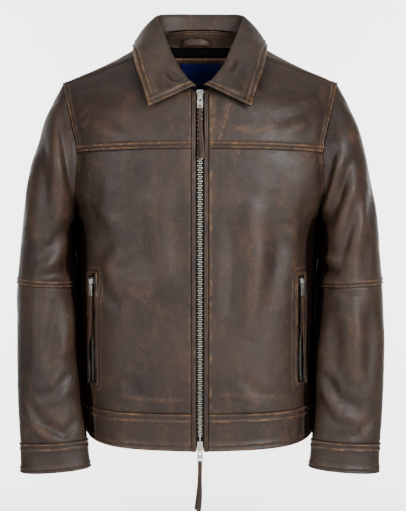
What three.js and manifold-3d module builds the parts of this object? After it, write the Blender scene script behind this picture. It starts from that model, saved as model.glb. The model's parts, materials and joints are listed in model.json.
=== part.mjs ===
// A worn leather jacket with a shirt collar, front yokes, a two-way zip, two zipped side pockets,
// an elbow seam in each sleeve, cuffs and a hem band. It is filled out as if worn, with no wearer.
// Millimetres. +X is to the viewer's right, -Y is the front, +Z is up. The origin is the place where
// the wearer's shoulders carry it: between the neck ends of the two shoulder ridges.
import * as THREE from "three";
import { mergeVertices } from "three/addons/utils/BufferGeometryUtils.js";
import Module from "manifold-3d";

const wasm = await Module();
wasm.setup();

// ---- Driving dimensions -------------------------------------------------------------------------

const leather = 2.0; // thickness of a body or sleeve panel, with its backing
const doubled = 3.0; // thickness of the folded hem band and cuffs
const collarThickness = 2.4;
const seamGap = 0.3; // the gap kept between pieces that are sewn together
const frontOpening = 6.4; // half the width of the open strip that shows the zip
const placketWidth = 7.6; // the folded, stitched edge on each side of the zip

const hemFrontZ = -688;
const hemSideZ = -677;
const hemBackZ = -684;
const bandTopZ = -622;
const underarmZ = -290;
const yokeZ = -181;

const pocketSlot = { width: 12, top: -395, bottom: -578 };
const pocketX = 182; // from the zip to the pocket's middle line
const settleRight = 12; // how much further in the right side of the body sits, with its sleeve's inner side

const leatherColour = 0x4a3f39;
const wornLeatherColour = 0x6a4a30;
const metalColour = 0xd6d3cb;
const tapeColour = 0x0b0b0d;
const liningColour = 0x101014;
const labelColour = 0x0a1c6e;

// ---- Splines and sheets -------------------------------------------------------------------------

const vec = (x, y, z) => new THREE.Vector3(x, y, z);
const mix = (a, b, t) => a + (b - a) * t;

// The slope of a smooth curve at point i, from the stretch on one side only at an end or a corner.
function slopeAt(knots, points, i, corners, towardsEnd) {
  const last = points.length - 1;
  const step = (k) => points[k + 1].clone().sub(points[k]).divideScalar(knots[k + 1] - knots[k]);
  if (i === 0) return step(0);
  if (i === last) return step(last - 1);
  if (corners.includes(i)) return towardsEnd ? step(i) : step(i - 1);
  const before = knots[i] - knots[i - 1];
  const after = knots[i + 1] - knots[i];
  return step(i - 1).multiplyScalar(after).add(step(i).multiplyScalar(before)).divideScalar(before + after);
}

// A point on the smooth curve through the points, at t on the knots' scale.
function curvePoint(knots, points, t, corners = []) {
  let i = knots.length - 2;
  while (i > 0 && t < knots[i]) i--;
  const length = knots[i + 1] - knots[i];
  const s = (t - knots[i]) / length;
  const from = slopeAt(knots, points, i, corners, true).multiplyScalar(length);
  const to = slopeAt(knots, points, i + 1, corners, false).multiplyScalar(length);
  return points[i]
    .clone()
    .multiplyScalar((1 + 2 * s) * (1 - s) * (1 - s))
    .addScaledVector(from, s * (1 - s) * (1 - s))
    .addScaledVector(points[i + 1], s * s * (3 - 2 * s))
    .addScaledVector(to, s * s * (s - 1));
}

const bezier = (p, t) =>
  vec(0, 0, 0)
    .addScaledVector(p[0], (1 - t) ** 3)
    .addScaledVector(p[1], 3 * t * (1 - t) ** 2)
    .addScaledVector(p[2], 3 * t * t * (1 - t))
    .addScaledVector(p[3], t ** 3);

// ---- The body: one half sheet that runs from the front hem over the shoulder to the back hem -----

// A level section below the arm: from the middle line, flat across, round the corner to the side seam.
// The corner is drawn in a little where the sleeve hangs in front of it.
function level(middleX, middleY, half, middleZ, sideZ, sideY = 5, drawnIn = 0) {
  const cornerShare = 0.8;
  return [
    vec(middleX, middleY, middleZ),
    vec(half * cornerShare, middleY, mix(middleZ, sideZ, 0.2)),
    vec(half - drawnIn, mix(sideY, middleY, cornerShare), mix(middleZ, sideZ, 0.7)),
    vec(half, sideY, sideZ),
  ];
}

// Each section is four control points, from the middle or the neck to the side or the armhole.
const fo = frontOpening;
const sections = [
  level(fo, -120, 203, hemFrontZ, hemSideZ, 34, 22),
  level(fo, -123, 208, bandTopZ - 2, bandTopZ + 2, 34, 24),
  level(fo, -125, 212, -545, -545, 32, 27),
  level(fo, -126, 213.5, -480, -480, 28, 28),
  level(fo, -128, 214.5, -400, -400, 22, 27),
  level(fo, -129, 214.2, -325, -325, 14, 23),
  level(fo, -130, 214, underarmZ, underarmZ, 5, 15),
  [vec(fo, -130, -238), vec(140, -131, -240), vec(200, -112, -245), vec(209, -62, -250)],
  [vec(fo, -128, yokeZ), vec(118, -131, yokeZ - 1), vec(186, -112, yokeZ - 4), vec(205, -77, yokeZ - 7)],
  [vec(fo, -120, -132), vec(92, -125, -133), vec(172, -112, -139), vec(214, -68, -148)],
  [vec(fo, -104, -85), vec(75, -115, -88), vec(165, -98, -102), vec(222, -52, -118)],
  [vec(30, -86, -74), vec(88, -100, -76), vec(170, -82, -90), vec(228, -36, -97)],
  [vec(52, -63, -56), vec(98, -72, -58), vec(178, -58, -80), vec(232, -22, -84)],
  [vec(70, -34, -30), vec(112, -38, -36), vec(184, -32, -66), vec(235, -10, -74)],
  [vec(80, 2, 0), vec(130, 4, -21), vec(188, 6, -46), vec(238, 5, -70)],
  [vec(77, 38, 22), vec(120, 44, -8), vec(182, 44, -52), vec(234, 30, -80)],
  [vec(40, 55, 30), vec(92, 68, 12), vec(176, 72, -70), vec(227, 58, -105)],
  [vec(0, 58, 32), vec(58, 70, 20), vec(168, 90, -95), vec(217, 76, -140)],
  [vec(0, 74, -10), vec(66, 82, -14), vec(164, 102, -130), vec(211, 86, -180)],
  [vec(0, 93, -70), vec(80, 98, -76), vec(166, 110, -185), vec(209, 82, -228)],
  [vec(0, 110, -150), vec(100, 113, -156), vec(180, 112, -235), vec(211, 55, -270)],
  level(0, 119, 214, underarmZ, underarmZ, 5, -8),
  level(0, 118, 214.2, -325, -325, 14, -38),
  level(0, 115, 214.5, -400, -400, 22, -34),
  level(0, 110, 213.5, -480, -480, 28, -30),
  level(0, 109, 212, -545, -545, 32, -26),
  level(0, 111, 208, bandTopZ - 2, bandTopZ + 2, 34, -20),
  level(0, 110, 203, hemBackZ, hemSideZ, 34, -15),
];
const at = {
  hem: 0,
  bandTop: 1,
  underarm: 6,
  yoke: 8,
  frontNeck: 10,
  beforeRidge: 13,
  ridge: 14,
  nape: 17,
  backUnderarm: 21,
  backBandTop: 26,
  backHem: 27,
};

// Below the arm the sheet's scale is the side seam's length, so that front and back share that seam.
const bodyKnots = [0];
sections.forEach((section, i) => {
  if (!i) return;
  const before = sections[i - 1];
  const lengths = section.map((p, k) => p.distanceTo(before[k]));
  const below = i <= at.underarm || i > at.backUnderarm;
  bodyKnots.push(bodyKnots[i - 1] + (below ? lengths[3] : lengths.reduce((a, b) => a + b) / 4));
});
const v = Object.fromEntries(Object.entries(at).map(([name, i]) => [name, bodyKnots[i]]));
v.shoulderSeam = mix(v.beforeRidge, v.ridge, 0.55);
const bodyColumns = [0, 1, 2, 3].map((k) => sections.map((section) => section[k]));
const armCorners = [at.underarm, at.backUnderarm];

function bodyPoint(u, height) {
  const controls = bodyColumns.map((column, k) =>
    curvePoint(bodyKnots, column, height, k === 3 ? armCorners : []),
  );
  return bezier(controls, u);
}

function bodyNormal(u, height) {
  const du = 1e-3;
  const dv = 0.4;
  const u0 = Math.min(Math.max(u, du), 1 - du);
  const v0 = Math.min(Math.max(height, dv), v.backHem - dv);
  const across = bodyPoint(u0 + du, v0).sub(bodyPoint(u0 - du, v0));
  const along = bodyPoint(u0, v0 + dv).sub(bodyPoint(u0, v0 - dv));
  return across.cross(along).normalize();
}

// Where across a section x is reached, or 0 where the whole section lies beyond it.
function uAtX(x, height) {
  if (bodyPoint(0, height).x >= x) return 0;
  let low = 0;
  let high = 1;
  for (let i = 0; i < 30; i++) {
    const middle = (low + high) / 2;
    if (bodyPoint(middle, height).x < x) low = middle;
    else high = middle;
  }
  return (low + high) / 2;
}

// The place on the sheet with a given x and z, searched from a first guess.
function placeAt(x, z, u, height) {
  const du = 1e-3;
  const dv = 0.5;
  for (let i = 0; i < 25; i++) {
    const p = bodyPoint(u, height);
    const pu = bodyPoint(u + du, height).sub(p).divideScalar(du);
    const pv = bodyPoint(u, height + dv).sub(p).divideScalar(dv);
    const det = pu.x * pv.z - pv.x * pu.z;
    u += ((x - p.x) * pv.z - (z - p.z) * pv.x) / det;
    height += ((z - p.z) * pu.x - (x - p.x) * pu.z) / det;
    u = Math.min(Math.max(u, 0), 0.98);
  }
  return { u, height };
}

// A first guess at the sheet's height for a z below the arm.
const heightGuess = (z) => mix(0, v.underarm, (z - hemFrontZ) / (underarmZ - hemFrontZ));

// ---- Walls --------------------------------------------------------------------------------------

const key = (p) => [p.x, p.y, p.z].map((c) => Math.round(c * 1000)).join();

// A closed wall from quads of {out, in} corners: the outside, the inside, and a rim round each free edge.
function wall(quads) {
  const corners = new Map();
  const id = (corner) => {
    const name = key(corner.out);
    if (!corners.has(name)) corners.set(name, { number: corners.size, corner });
    return corners.get(name).number;
  };
  const triangles = [];
  const edges = new Map();
  for (const quad of quads) {
    const ids = quad.map(id);
    const face = ids.filter((n, i) => n !== ids[(i + 1) % 4]);
    for (let i = 2; i < face.length; i++) {
      triangles.push([face[0], face[i - 1], face[i]].map((n) => 2 * n));
      triangles.push([face[0], face[i], face[i - 1]].map((n) => 2 * n + 1));
    }
    face.forEach((a, i) => {
      const b = face[(i + 1) % face.length];
      if (edges.has(`${b},${a}`)) edges.delete(`${b},${a}`);
      else edges.set(`${a},${b}`, [a, b]);
    });
  }
  for (const [a, b] of edges.values()) {
    triangles.push([2 * a, 2 * a + 1, 2 * b + 1]);
    triangles.push([2 * a, 2 * b + 1, 2 * b]);
  }
  const points = [...corners.values()].flatMap(({ corner }) => [corner.out, corner.in]);
  const coordinates = points.flatMap((p) => p.toArray());
  const geometry = new THREE.BufferGeometry();
  geometry.setAttribute("position", new THREE.Float32BufferAttribute(coordinates, 3));
  geometry.setIndex(triangles.flat());
  return facingOut(geometry);
}

// Turns the faces over where the closed surface holds a negative volume.
function facingOut(geometry) {
  const p = geometry.getAttribute("position");
  const index = geometry.getIndex().array;
  const corner = (i) => vec(0, 0, 0).fromBufferAttribute(p, index[i]);
  let volume = 0;
  for (let i = 0; i < index.length; i += 3) volume += corner(i).dot(corner(i + 1).cross(corner(i + 2)));
  if (volume < 0) geometry.setIndex(Array.from(index).reverse());
  return geometry;
}

// Quads over a grid of corners, made by a function of row and column.
function grid(rows, columns, corner) {
  const made = Array.from({ length: rows + 1 }, (_, i) =>
    Array.from({ length: columns + 1 }, (_, j) => corner(i, j)),
  );
  const quads = [];
  for (let i = 0; i < rows; i++)
    for (let j = 0; j < columns; j++)
      quads.push([made[i][j], made[i][j + 1], made[i + 1][j + 1], made[i + 1][j]]);
  return quads;
}

const flip = (p) => vec(-p.x, p.y, p.z);

// The jacket is not worn quite evenly: below the arm its right side sits a little further in.
function settle(p) {
  const { smoothstep } = THREE.MathUtils;
  const below = smoothstep(-p.z, 230, 340) * (1 - 0.8 * smoothstep(-p.z, 540, 680));
  const across = THREE.MathUtils.clamp((p.x - 40) / 280, 0, 1);
  return vec(p.x - settleRight * below * Math.sin(Math.PI * across) ** 2, p.y, p.z);
}

// Everything is worked out for the right side first, and then placed on its own side.
function onSide(quads, side) {
  const place = side === "left" ? flip : settle;
  const placed = quads.map((quad) => quad.map((c) => ({ out: place(c.out), in: place(c.in) })));
  if (side === "left") placed.forEach((quad) => quad.reverse());
  return placed;
}
const bothSides = (quads) => [...onSide(quads, "right"), ...onSide(quads, "left")];

// A corner on the body sheet: its outside raised by lift and its inside a thickness below that.
function bodyCorner(u, height, thickness = leather, lift = 0, normal = bodyNormal(u, height)) {
  const p = bodyPoint(u, height);
  return {
    out: p.clone().addScaledVector(normal, lift),
    in: p.addScaledVector(normal, lift - thickness),
  };
}

const stops = (from, to, count) => Array.from({ length: count + 1 }, (_, i) => mix(from, to, i / count));

// ---- The sleeve: rings from the armhole to the cuff's hem ---------------------------------------

// Each ring is given by its outermost, innermost, front and back points.
const sleeveRings = [
  [vec(262, 2, -118), vec(218.5, 8, -306), vec(232, -84, -200), vec(236, 92, -205)],
  [vec(285, 0, -190), vec(219.5, 8, -330), vec(250, -82, -258), vec(254, 86, -258)],
  [vec(304, -3, -285), vec(218, 4, -368), vec(262, -76, -326), vec(264, 74, -326)],
  [vec(316, -8, -413), vec(214, -4, -419), vec(265, -72, -416), vec(265, 58, -414)],
  [vec(318, -16, -484), vec(211.5, -12, -486), vec(264, -72, -485), vec(264, 46, -484)],
  [vec(317.5, -24, -545), vec(208.5, -20, -545), vec(262, -70, -545), vec(262, 34, -545)],
  [vec(314, -32, -630), vec(201, -30, -630), vec(257, -68, -630), vec(257, 10, -630)],
  [vec(310.7, -38, -686.5), vec(195, -36, -680), vec(252, -67, -684), vec(252, -9, -684)],
  [vec(310, -41, -738), vec(190, -39, -729), vec(250, -69, -735), vec(250, -12, -733)],
];
const ringAt = { elbow: 4, cuffSeam: 8, cuffHem: 9 };

function ringPoint([outer, inner, front, back], angle) {
  const centre = outer.clone().add(inner).multiplyScalar(0.5);
  const side = Math.sin(angle) > 0 ? front.clone().sub(centre) : centre.clone().sub(back);
  return centre
    .clone()
    .addScaledVector(outer.clone().sub(centre), Math.cos(angle))
    .addScaledVector(side, Math.sin(angle));
}

// Lengths along the armhole, so that the sleeve's first ring is spread evenly round it.
function armholeHeights(from, to) {
  const steps = 60;
  const heights = stops(from, to, steps);
  const lengths = [0];
  for (let i = 1; i <= steps; i++)
    lengths.push(lengths[i - 1] + bodyPoint(1, heights[i]).distanceTo(bodyPoint(1, heights[i - 1])));
  return { heights, lengths };
}
const frontArmhole = armholeHeights(v.ridge, v.underarm);
const backArmhole = armholeHeights(v.ridge, v.backUnderarm);

// The body sheet's height at an angle round the armhole: 0 at the shoulder, a half turn at the underarm.
function armholeHeight(angle) {
  const turn = ((angle % (2 * Math.PI)) + 2 * Math.PI) % (2 * Math.PI);
  const { heights, lengths } = turn <= Math.PI ? frontArmhole : backArmhole;
  const share = turn <= Math.PI ? turn / Math.PI : 2 - turn / Math.PI;
  const wanted = share * lengths[lengths.length - 1];
  let i = 1;
  while (i < lengths.length - 1 && lengths[i] < wanted) i++;
  return mix(heights[i - 1], heights[i], (wanted - lengths[i - 1]) / (lengths[i] - lengths[i - 1]));
}

const sleeveKnots = [0];
const ringSpacing = (a, b) => a.reduce((sum, p, k) => sum + p.distanceTo(b[k]), 0) / 4;
sleeveRings.forEach((ring, i) => {
  const before = i
    ? sleeveRings[i - 1]
    : [0, 2, 1, 3].map((quarter) => bodyPoint(1, armholeHeight((quarter * Math.PI) / 2)));
  sleeveKnots.push(sleeveKnots[i] + ringSpacing(ring, before));
});
const s = Object.fromEntries(Object.entries(ringAt).map(([name, i]) => [name, sleeveKnots[i]]));

function sleevePoint(angle, along) {
  const points = [bodyPoint(1, armholeHeight(angle)), ...sleeveRings.map((ring) => ringPoint(ring, angle))];
  return curvePoint(sleeveKnots, points, along);
}

function sleeveNormal(angle, along) {
  const step = 0.4;
  const a0 = Math.min(Math.max(along, step), s.cuffHem - step);
  const turn = sleevePoint(angle + 0.01, a0).sub(sleevePoint(angle - 0.01, a0));
  const down = sleevePoint(angle, a0 + step).sub(sleevePoint(angle, a0 - step));
  return turn.cross(down).normalize();
}

// At the armhole the body's wall and the sleeve's wall meet on a shared mitre.
function mitre(own, other) {
  const sum = own.clone().add(other);
  const half = sum.length() / 2;
  return half > 0.85 ? sum.normalize().divideScalar(half) : own;
}
function armholeAngle(height) {
  const front = height <= v.ridge;
  const { heights, lengths } = front ? frontArmhole : backArmhole;
  const share = (height - heights[0]) / (heights[heights.length - 1] - heights[0]);
  const place = Math.min(Math.max(share, 0), 1) * (lengths.length - 1);
  const i = Math.min(Math.floor(place), lengths.length - 2);
  const turn = (mix(lengths[i], lengths[i + 1], place - i) / lengths[lengths.length - 1]) * Math.PI;
  return front ? turn : 2 * Math.PI - turn;
}
function bodyEdgeNormal(height) {
  const own = bodyNormal(1, height);
  const isArmhole = height > v.underarm && height < v.backUnderarm;
  return isArmhole ? mitre(own, sleeveNormal(armholeAngle(height), 0)) : own;
}

// Rows of the panels that end at the armhole; the sleeve's columns start from the same places.
const yokeRows = stops(v.yoke + seamGap / 2, v.shoulderSeam - seamGap / 2, 7);
const frontArmholeRows = stops(v.underarm, v.yoke - seamGap / 2, 4);
const backArmholeRows = [
  ...stops(v.shoulderSeam + seamGap / 2, v.nape, 3),
  ...stops(v.nape, v.backUnderarm, 6).slice(1),
];
const sleeveAngles = [...frontArmholeRows.slice(0, -1), ...yokeRows, ...backArmholeRows.slice(1, -1)]
  .map(armholeAngle)
  .sort((a, b) => a - b);

function sleeveTube(from, to, rows, thickness, side) {
  const around = sleeveAngles.length;
  const quads = grid(rows, around, (i, j) => {
    const angle = sleeveAngles[j % around];
    const along = mix(from + (from ? seamGap / 2 : seamGap), to - seamGap / 2, i / rows);
    const own = sleeveNormal(angle, along);
    const normal = i || from ? own : mitre(own, bodyNormal(1, armholeHeight(angle)));
    const p = sleevePoint(angle, along);
    return { out: p, in: p.clone().addScaledVector(normal, -thickness) };
  });
  return wall(onSide(quads, side));
}

// ---- Body panels --------------------------------------------------------------------------------

const edgeU = 1 - 0.0012; // the panels stop this share short of the side seam and the armhole
const panelStartX = frontOpening + placketWidth + seamGap;
const columnCorner = (u, height, thickness) =>
  bodyCorner(u, height, thickness, 0, u === edgeU ? bodyEdgeNormal(height) : undefined);

function plainPanel(heights, columns, thickness, side) {
  const quads = grid(heights.length - 1, columns, (i, j) =>
    columnCorner(mix(uAtX(panelStartX, heights[i]), edgeU, j / columns), heights[i], thickness),
  );
  return wall(onSide(quads, side));
}

// The lower front has a slot for the pocket: one column of the grid is left open between two rows.
function lowerFront(side) {
  const columnsBefore = 6;
  const columnsAfter = 4;
  const heightOf = (z) => placeAt(pocketX, z, 0.7, heightGuess(z)).height;
  const slot = [heightOf(pocketSlot.bottom), heightOf(pocketSlot.top)];
  const heights = [
    ...stops(v.bandTop + seamGap / 2, slot[0], 1),
    ...stops(slot[0], slot[1], 5).slice(1),
    ...stops(slot[1], v.underarm, 3).slice(1),
    ...frontArmholeRows.slice(1),
  ];
  const quads = grid(heights.length - 1, columnsBefore + 1 + columnsAfter, (i, j) => {
    const height = heights[i];
    const from = uAtX(pocketX - pocketSlot.width / 2, height);
    const to = uAtX(pocketX + pocketSlot.width / 2, height);
    const u =
      j <= columnsBefore
        ? mix(uAtX(panelStartX, height), from, j / columnsBefore)
        : mix(to, edgeU, (j - columnsBefore - 1) / columnsAfter);
    return columnCorner(u, height, leather);
  });
  const columns = columnsBefore + 1 + columnsAfter;
  const open = quads.filter((_, n) => n % columns !== columnsBefore || n < columns || n >= 6 * columns);
  return wall(onSide(open, side));
}

function backPanel() {
  const rows = [
    ...backArmholeRows,
    ...stops(v.backUnderarm, v.backBandTop - seamGap / 2, 7).slice(1),
  ];
  const half = grid(rows.length - 1, 9, (i, j) => columnCorner(mix(0, edgeU, j / 9), rows[i], leather));
  return wall(bothSides(half));
}

const bandRows = stops(v.hem, v.bandTop - seamGap / 2, 2);

function backBand() {
  const half = grid(2, 9, (i, j) =>
    columnCorner(mix(0, edgeU, j / 9), mix(v.backBandTop + seamGap / 2, v.backHem, i / 2), doubled),
  );
  return wall(bothSides(half));
}

// ---- The collar: a stand inside and a fall outside, in one folded strip -------------------------

// Neck seam, roll line and outer edge, from the front end of the collar to the middle of the back.
const collarStations = [
  { neck: vec(8, -105.5, -82), roll: vec(9, -110, -79), edge: vec(85, -127, -115), bow: 1 },
  { neck: vec(30, -84, -71), roll: vec(23, -88, -61), edge: vec(94, -120, -86), bow: 3 },
  { neck: vec(51, -61, -53), roll: vec(38, -64, -38), edge: vec(104, -101, -57), bow: 5 },
  { neck: vec(67, -33, -27), roll: vec(52, -33, -6), edge: vec(109, -64, -32), bow: 7 },
  { neck: vec(74, 0, 5), roll: vec(65, 4, 28), edge: vec(112, -16, -10), bow: 8 },
  { neck: vec(71, 34, 20), roll: vec(74, 40, 53), edge: vec(110, 44, 0), bow: 10 },
  { neck: vec(39, 52, 27.5), roll: vec(41, 56, 58), edge: vec(60, 90, -1), bow: 8 },
  { neck: vec(0, 55, 29.3), roll: vec(0, 59, 59), edge: vec(0, 93, -6), bow: 7 },
];
const collarKnots = collarStations.map((_, i) => i);
const collarLine = (name) => collarStations.map((station) => station[name]);

// A point across the folded strip: 0 at the neck seam, 1 at the roll line, 2 at the outer edge.
function collarPoint(along, across) {
  const neck = curvePoint(collarKnots, collarLine("neck"), along);
  const roll = curvePoint(collarKnots, collarLine("roll"), along);
  const edge = curvePoint(collarKnots, collarLine("edge"), along);
  const i = Math.min(Math.floor(along), collarStations.length - 2);
  const bow = mix(collarStations[i].bow, collarStations[i + 1].bow, along - i);
  if (across <= 1) return neck.lerp(roll, across);
  const t = across - 1;
  const outward = vec(roll.x, roll.y, 0).normalize();
  return roll.clone().lerp(edge, t).addScaledVector(outward, bow * Math.sin(Math.PI * t) ** 0.8);
}

function collar() {
  const acrossStops = [0, 0.5, 0.9, 1, 1.06, 1.2, 1.45, 1.75, 2];
  const alongSteps = 14;
  const half = grid(acrossStops.length - 1, alongSteps, (i, j) => {
    const along = (j / alongSteps) * (collarStations.length - 1);
    const d = 0.02;
    const a0 = Math.min(Math.max(along, d), collarStations.length - 1 - d);
    const before = collarPoint(along, acrossStops[Math.max(i - 1, 0)]);
    const after = collarPoint(along, acrossStops[Math.min(i + 1, acrossStops.length - 1)]);
    const run = collarPoint(a0 + d, acrossStops[i]).sub(collarPoint(a0 - d, acrossStops[i]));
    const normal = after.sub(before).cross(run).normalize();
    if (along === collarStations.length - 1) normal.setX(0).normalize();
    const p = collarPoint(along, acrossStops[i]);
    return { out: p, in: p.clone().addScaledVector(normal, collarThickness) };
  });
  return wall(bothSides(half));
}

// ---- The front edges and the zip ----------------------------------------------------------------

const frontRows = 14;

// A strip down the front, between two distances from the middle, at a depth behind the body's surface.
function frontStrip(fromX, toX, depth, thickness, from, to, side, rows = frontRows) {
  const quads = grid(rows, 1, (i, j) => {
    const height = mix(from, to, i / rows);
    const edge = bodyPoint(0, height);
    const inward = bodyNormal(0, height).negate().setX(0).normalize();
    const out = vec(j ? toX : fromX, edge.y, edge.z).addScaledVector(inward, depth);
    return { out, in: out.clone().addScaledVector(inward, thickness) };
  });
  return wall(onSide(quads, side));
}

// The same place for a single piece on the zip: its frame has +Z up the zip and -Y straight out.
function frameOnFront(height) {
  const outward = bodyNormal(0, height).setX(0).normalize();
  const up = bodyPoint(0, height + 1).sub(bodyPoint(0, height - 1)).setX(0).normalize();
  const edge = bodyPoint(0, height);
  return frame(vec(0, edge.y, edge.z), outward, up);
}

function frame(origin, outward, up) {
  const group = new THREE.Group();
  const inward = outward.clone().negate();
  const along = up.clone().addScaledVector(inward, -up.dot(inward)).normalize();
  const across = inward.clone().cross(along);
  group.matrix.makeBasis(across, inward, along).setPosition(origin);
  group.matrix.decompose(group.position, group.quaternion, group.scale);
  return group;
}

// ---- Zip heads: slider, pull tab and leather pull, in the frame of the zip ----------------------

function solidOf(geometry) {
  const bare = geometry.clone();
  bare.deleteAttribute("normal");
  bare.deleteAttribute("uv");
  const merged = mergeVertices(bare, 1e-4);
  return new wasm.Manifold(
    new wasm.Mesh({
      numProp: 3,
      vertProperties: new Float32Array(merged.getAttribute("position").array),
      triVerts: new Uint32Array(merged.getIndex().array),
    }),
  );
}

function geometryOf(solid) {
  const mesh = solid.getMesh();
  const geometry = new THREE.BufferGeometry();
  geometry.setAttribute("position", new THREE.BufferAttribute(new Float32Array(mesh.vertProperties), 3));
  geometry.setIndex(new THREE.BufferAttribute(new Uint32Array(mesh.triVerts), 1));
  return geometry;
}

const box = (x, y, z, width, depth, height) =>
  new THREE.BoxGeometry(width, depth, height).translate(x, y, z);

// An outline in X and Z, as a plate that starts at y and runs outwards, towards -Y, by its thickness.
function plate(outline, y, thickness, holes = []) {
  const shape = new THREE.Shape(outline.map(([x, z]) => new THREE.Vector2(x, z)));
  for (const hole of holes) shape.holes.push(new THREE.Path(hole.map(([x, z]) => new THREE.Vector2(x, z))));
  const geometry = new THREE.ExtrudeGeometry(shape, { depth: thickness, bevelEnabled: false });
  return geometry.rotateX(Math.PI / 2).translate(0, y, 0);
}

// Sizes of a zip head: the main zip's, and the smaller one on a pocket.
const mainHead = {
  width: 12,
  waist: 9,
  height: 15,
  tabWidth: 9.6,
  tabLength: 23,
  tabThickness: 1.5,
  pull: 86,
  strap: 8.4,
};
const pocketHead = {
  width: 9.6,
  waist: 7,
  height: 11,
  tabWidth: 7,
  tabLength: 26,
  tabThickness: 1.3,
  pull: 74,
  strap: 8.2,
};
const sliderThickness = 2.4;
const pivotHeight = 2.1; // from the slider's face to the pivot
const pivotHole = 1.35;
const bridgeWidth = 2.8;

function slider(size, upsideDown) {
  const half = size.width / 2;
  const waist = size.waist / 2;
  const top = size.height - 4;
  const outline = [
    [-waist, -4],
    [waist, -4],
    [waist, top * 0.35],
    [half, top * 0.6],
    [half, top - 2],
    [half - 2, top],
    [-half + 2, top],
    [-half, top - 2],
    [-half, top * 0.6],
    [-waist, top * 0.35],
  ];
  const turned = upsideDown ? outline.map(([x, z]) => [x, top - 4 - z]).reverse() : outline;
  const body = solidOf(plate(turned, 0, sliderThickness));
  const face = -sliderThickness;
  const bridgeDepth = pivotHeight + 2.6;
  const bridge = solidOf(box(0, face - bridgeDepth / 2 + 0.2, 0.6, bridgeWidth, bridgeDepth, 7));
  const hole = new THREE.CylinderGeometry(pivotHole, pivotHole, bridgeWidth + 2, 12).rotateZ(Math.PI / 2);
  const pivot = solidOf(hole.translate(0, face - pivotHeight, 0));
  return geometryOf(body.add(bridge.subtract(pivot)));
}

// A flat tab with a window for the bridge, under the bar that turns in it, and a slot for the leather.
function pullTab(size) {
  const half = size.tabWidth / 2;
  const bar = 0.8;
  const bottom = bar - size.tabLength;
  const outline = [
    [-half, bottom + 1.5],
    [-half + 1.5, bottom],
    [half - 1.5, bottom],
    [half, bottom + 1.5],
    [half, bar - 1],
    [half - 1, bar],
    [-half + 1, bar],
    [-half, bar - 1],
  ];
  const window = [
    [-2, -bar],
    [2, -bar],
    [2, -6.6],
    [-2, -6.6],
  ];
  const slot = [
    [-half + 1.4, bottom + 3.8],
    [half - 1.4, bottom + 3.8],
    [half - 1.4, bottom + 1.6],
    [-half + 1.4, bottom + 1.6],
  ];
  return plate(outline, size.tabThickness / 2, size.tabThickness, [window, slot]);
}

// The leather pull: one strip looped through the tab's slot, stitched below it, with two tails.
function leatherPull(size, sway, bow) {
  const start = 0.8 - size.tabLength - 0.4;
  const rows = 8;
  const depth = 1.5;
  const quads = grid(rows, 1, (i, j) => {
    const t = i / rows;
    const x = (j ? 0.5 : -0.5) * size.strap * mix(0.86, 1.12, t) + sway * t * t;
    const out = vec(x, -depth - bow * Math.sin((Math.PI * t) / 2), start - size.pull * t);
    return { out, in: out.clone().setY(out.y + 2 * depth) };
  });
  return wall(quads);
}

// ---- Pockets ------------------------------------------------------------------------------------

// A point on the front panel beside the pocket's middle line, raised above the surface.
function pocketCorner(z, sideways, lift, thickness) {
  const { u, height } = placeAt(pocketX + sideways, z, 0.7, heightGuess(z));
  return bodyCorner(u, height, thickness, lift);
}

function pocketStrip(side, fromZ, toZ, fromX, toX, lift, thickness, rows = 6) {
  const quads = grid(rows, 1, (i, j) =>
    pocketCorner(mix(fromZ, toZ, i / rows), j ? toX : fromX, lift, thickness),
  );
  return wall(onSide(quads, side));
}

// The welt: a narrow raised leather frame round the slot.
function pocketWelt(side) {
  const inner = pocketSlot.width / 2;
  const outer = inner + 4;
  const zs = [pocketSlot.bottom - 4, ...stops(pocketSlot.bottom, pocketSlot.top, 5), pocketSlot.top + 4];
  const xs = [-outer, -inner, inner, outer];
  const quads = grid(zs.length - 1, 3, (i, j) => pocketCorner(zs[i], xs[j], 1.7, 1.4));
  const ring = quads.filter((_, n) => n % 3 !== 1 || n < 3 || n >= quads.length - 3);
  return wall(onSide(ring, side));
}

function frameOnPocket(side, z) {
  const low = pocketCorner(z - 2, 0, 0, leather).out;
  const high = pocketCorner(z + 2, 0, 0, leather).out;
  const middle = pocketCorner(z, 0, 0, leather);
  const outward = middle.out.clone().sub(middle.in).normalize();
  const up = high.sub(low).normalize();
  if (side === "left") return frame(flip(middle.out), flip(outward), flip(up));
  return frame(settle(middle.out), outward, up);
}

// ---- Inside the back neck -----------------------------------------------------------------------

function innerBackCorner(x, z, depth, thickness) {
  const { u, height } = placeAt(Math.abs(x), z, 0.2, v.nape + 40);
  const corner = bodyCorner(u, height, leather + depth + thickness);
  const inside = corner.in;
  const outside = corner.in.clone().lerp(corner.out, thickness / (leather + depth + thickness));
  return { out: x < 0 ? flip(outside) : outside, in: x < 0 ? flip(inside) : inside };
}

// A patch inside the back: half its width, its top and bottom, and its depth behind the leather.
function innerPatch(halfWidth, topOf, bottom, depth, thickness, rows, columns = 8) {
  const quads = grid(rows, columns, (i, j) => {
    const x = mix(-halfWidth, halfWidth, j / columns);
    return innerBackCorner(x, mix(topOf(x), bottom, i / rows), depth, thickness);
  });
  return wall(quads);
}

const facingBottom = 1;
const neckHeight = (x) => 28 - 8 * (Math.abs(x) / 70) ** 2;

// The hanging loop: a flat strip that bows up and inwards between its two sewn ends.
function hangingLoop() {
  const middle = -8.25; // its ends sit on two of the facing's own columns
  const half = 24.75;
  const quads = grid(8, 1, (i, j) => {
    const t = mix(-1, 1, i / 8);
    const bow = 1 - Math.abs(t) ** 3;
    const base = innerBackCorner(middle + half * t, facingBottom + 2, 5.0, 0.5).in;
    const out = base.clone().add(vec(0, -0.6 - 6 * bow, (j ? 11 : 0) * mix(0.55, 1, bow) + 2 * bow));
    return { out, in: out.clone().add(vec(0, -1.4, 0)) };
  });
  return wall(quads);
}

// ---- Assembly -----------------------------------------------------------------------------------

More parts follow.
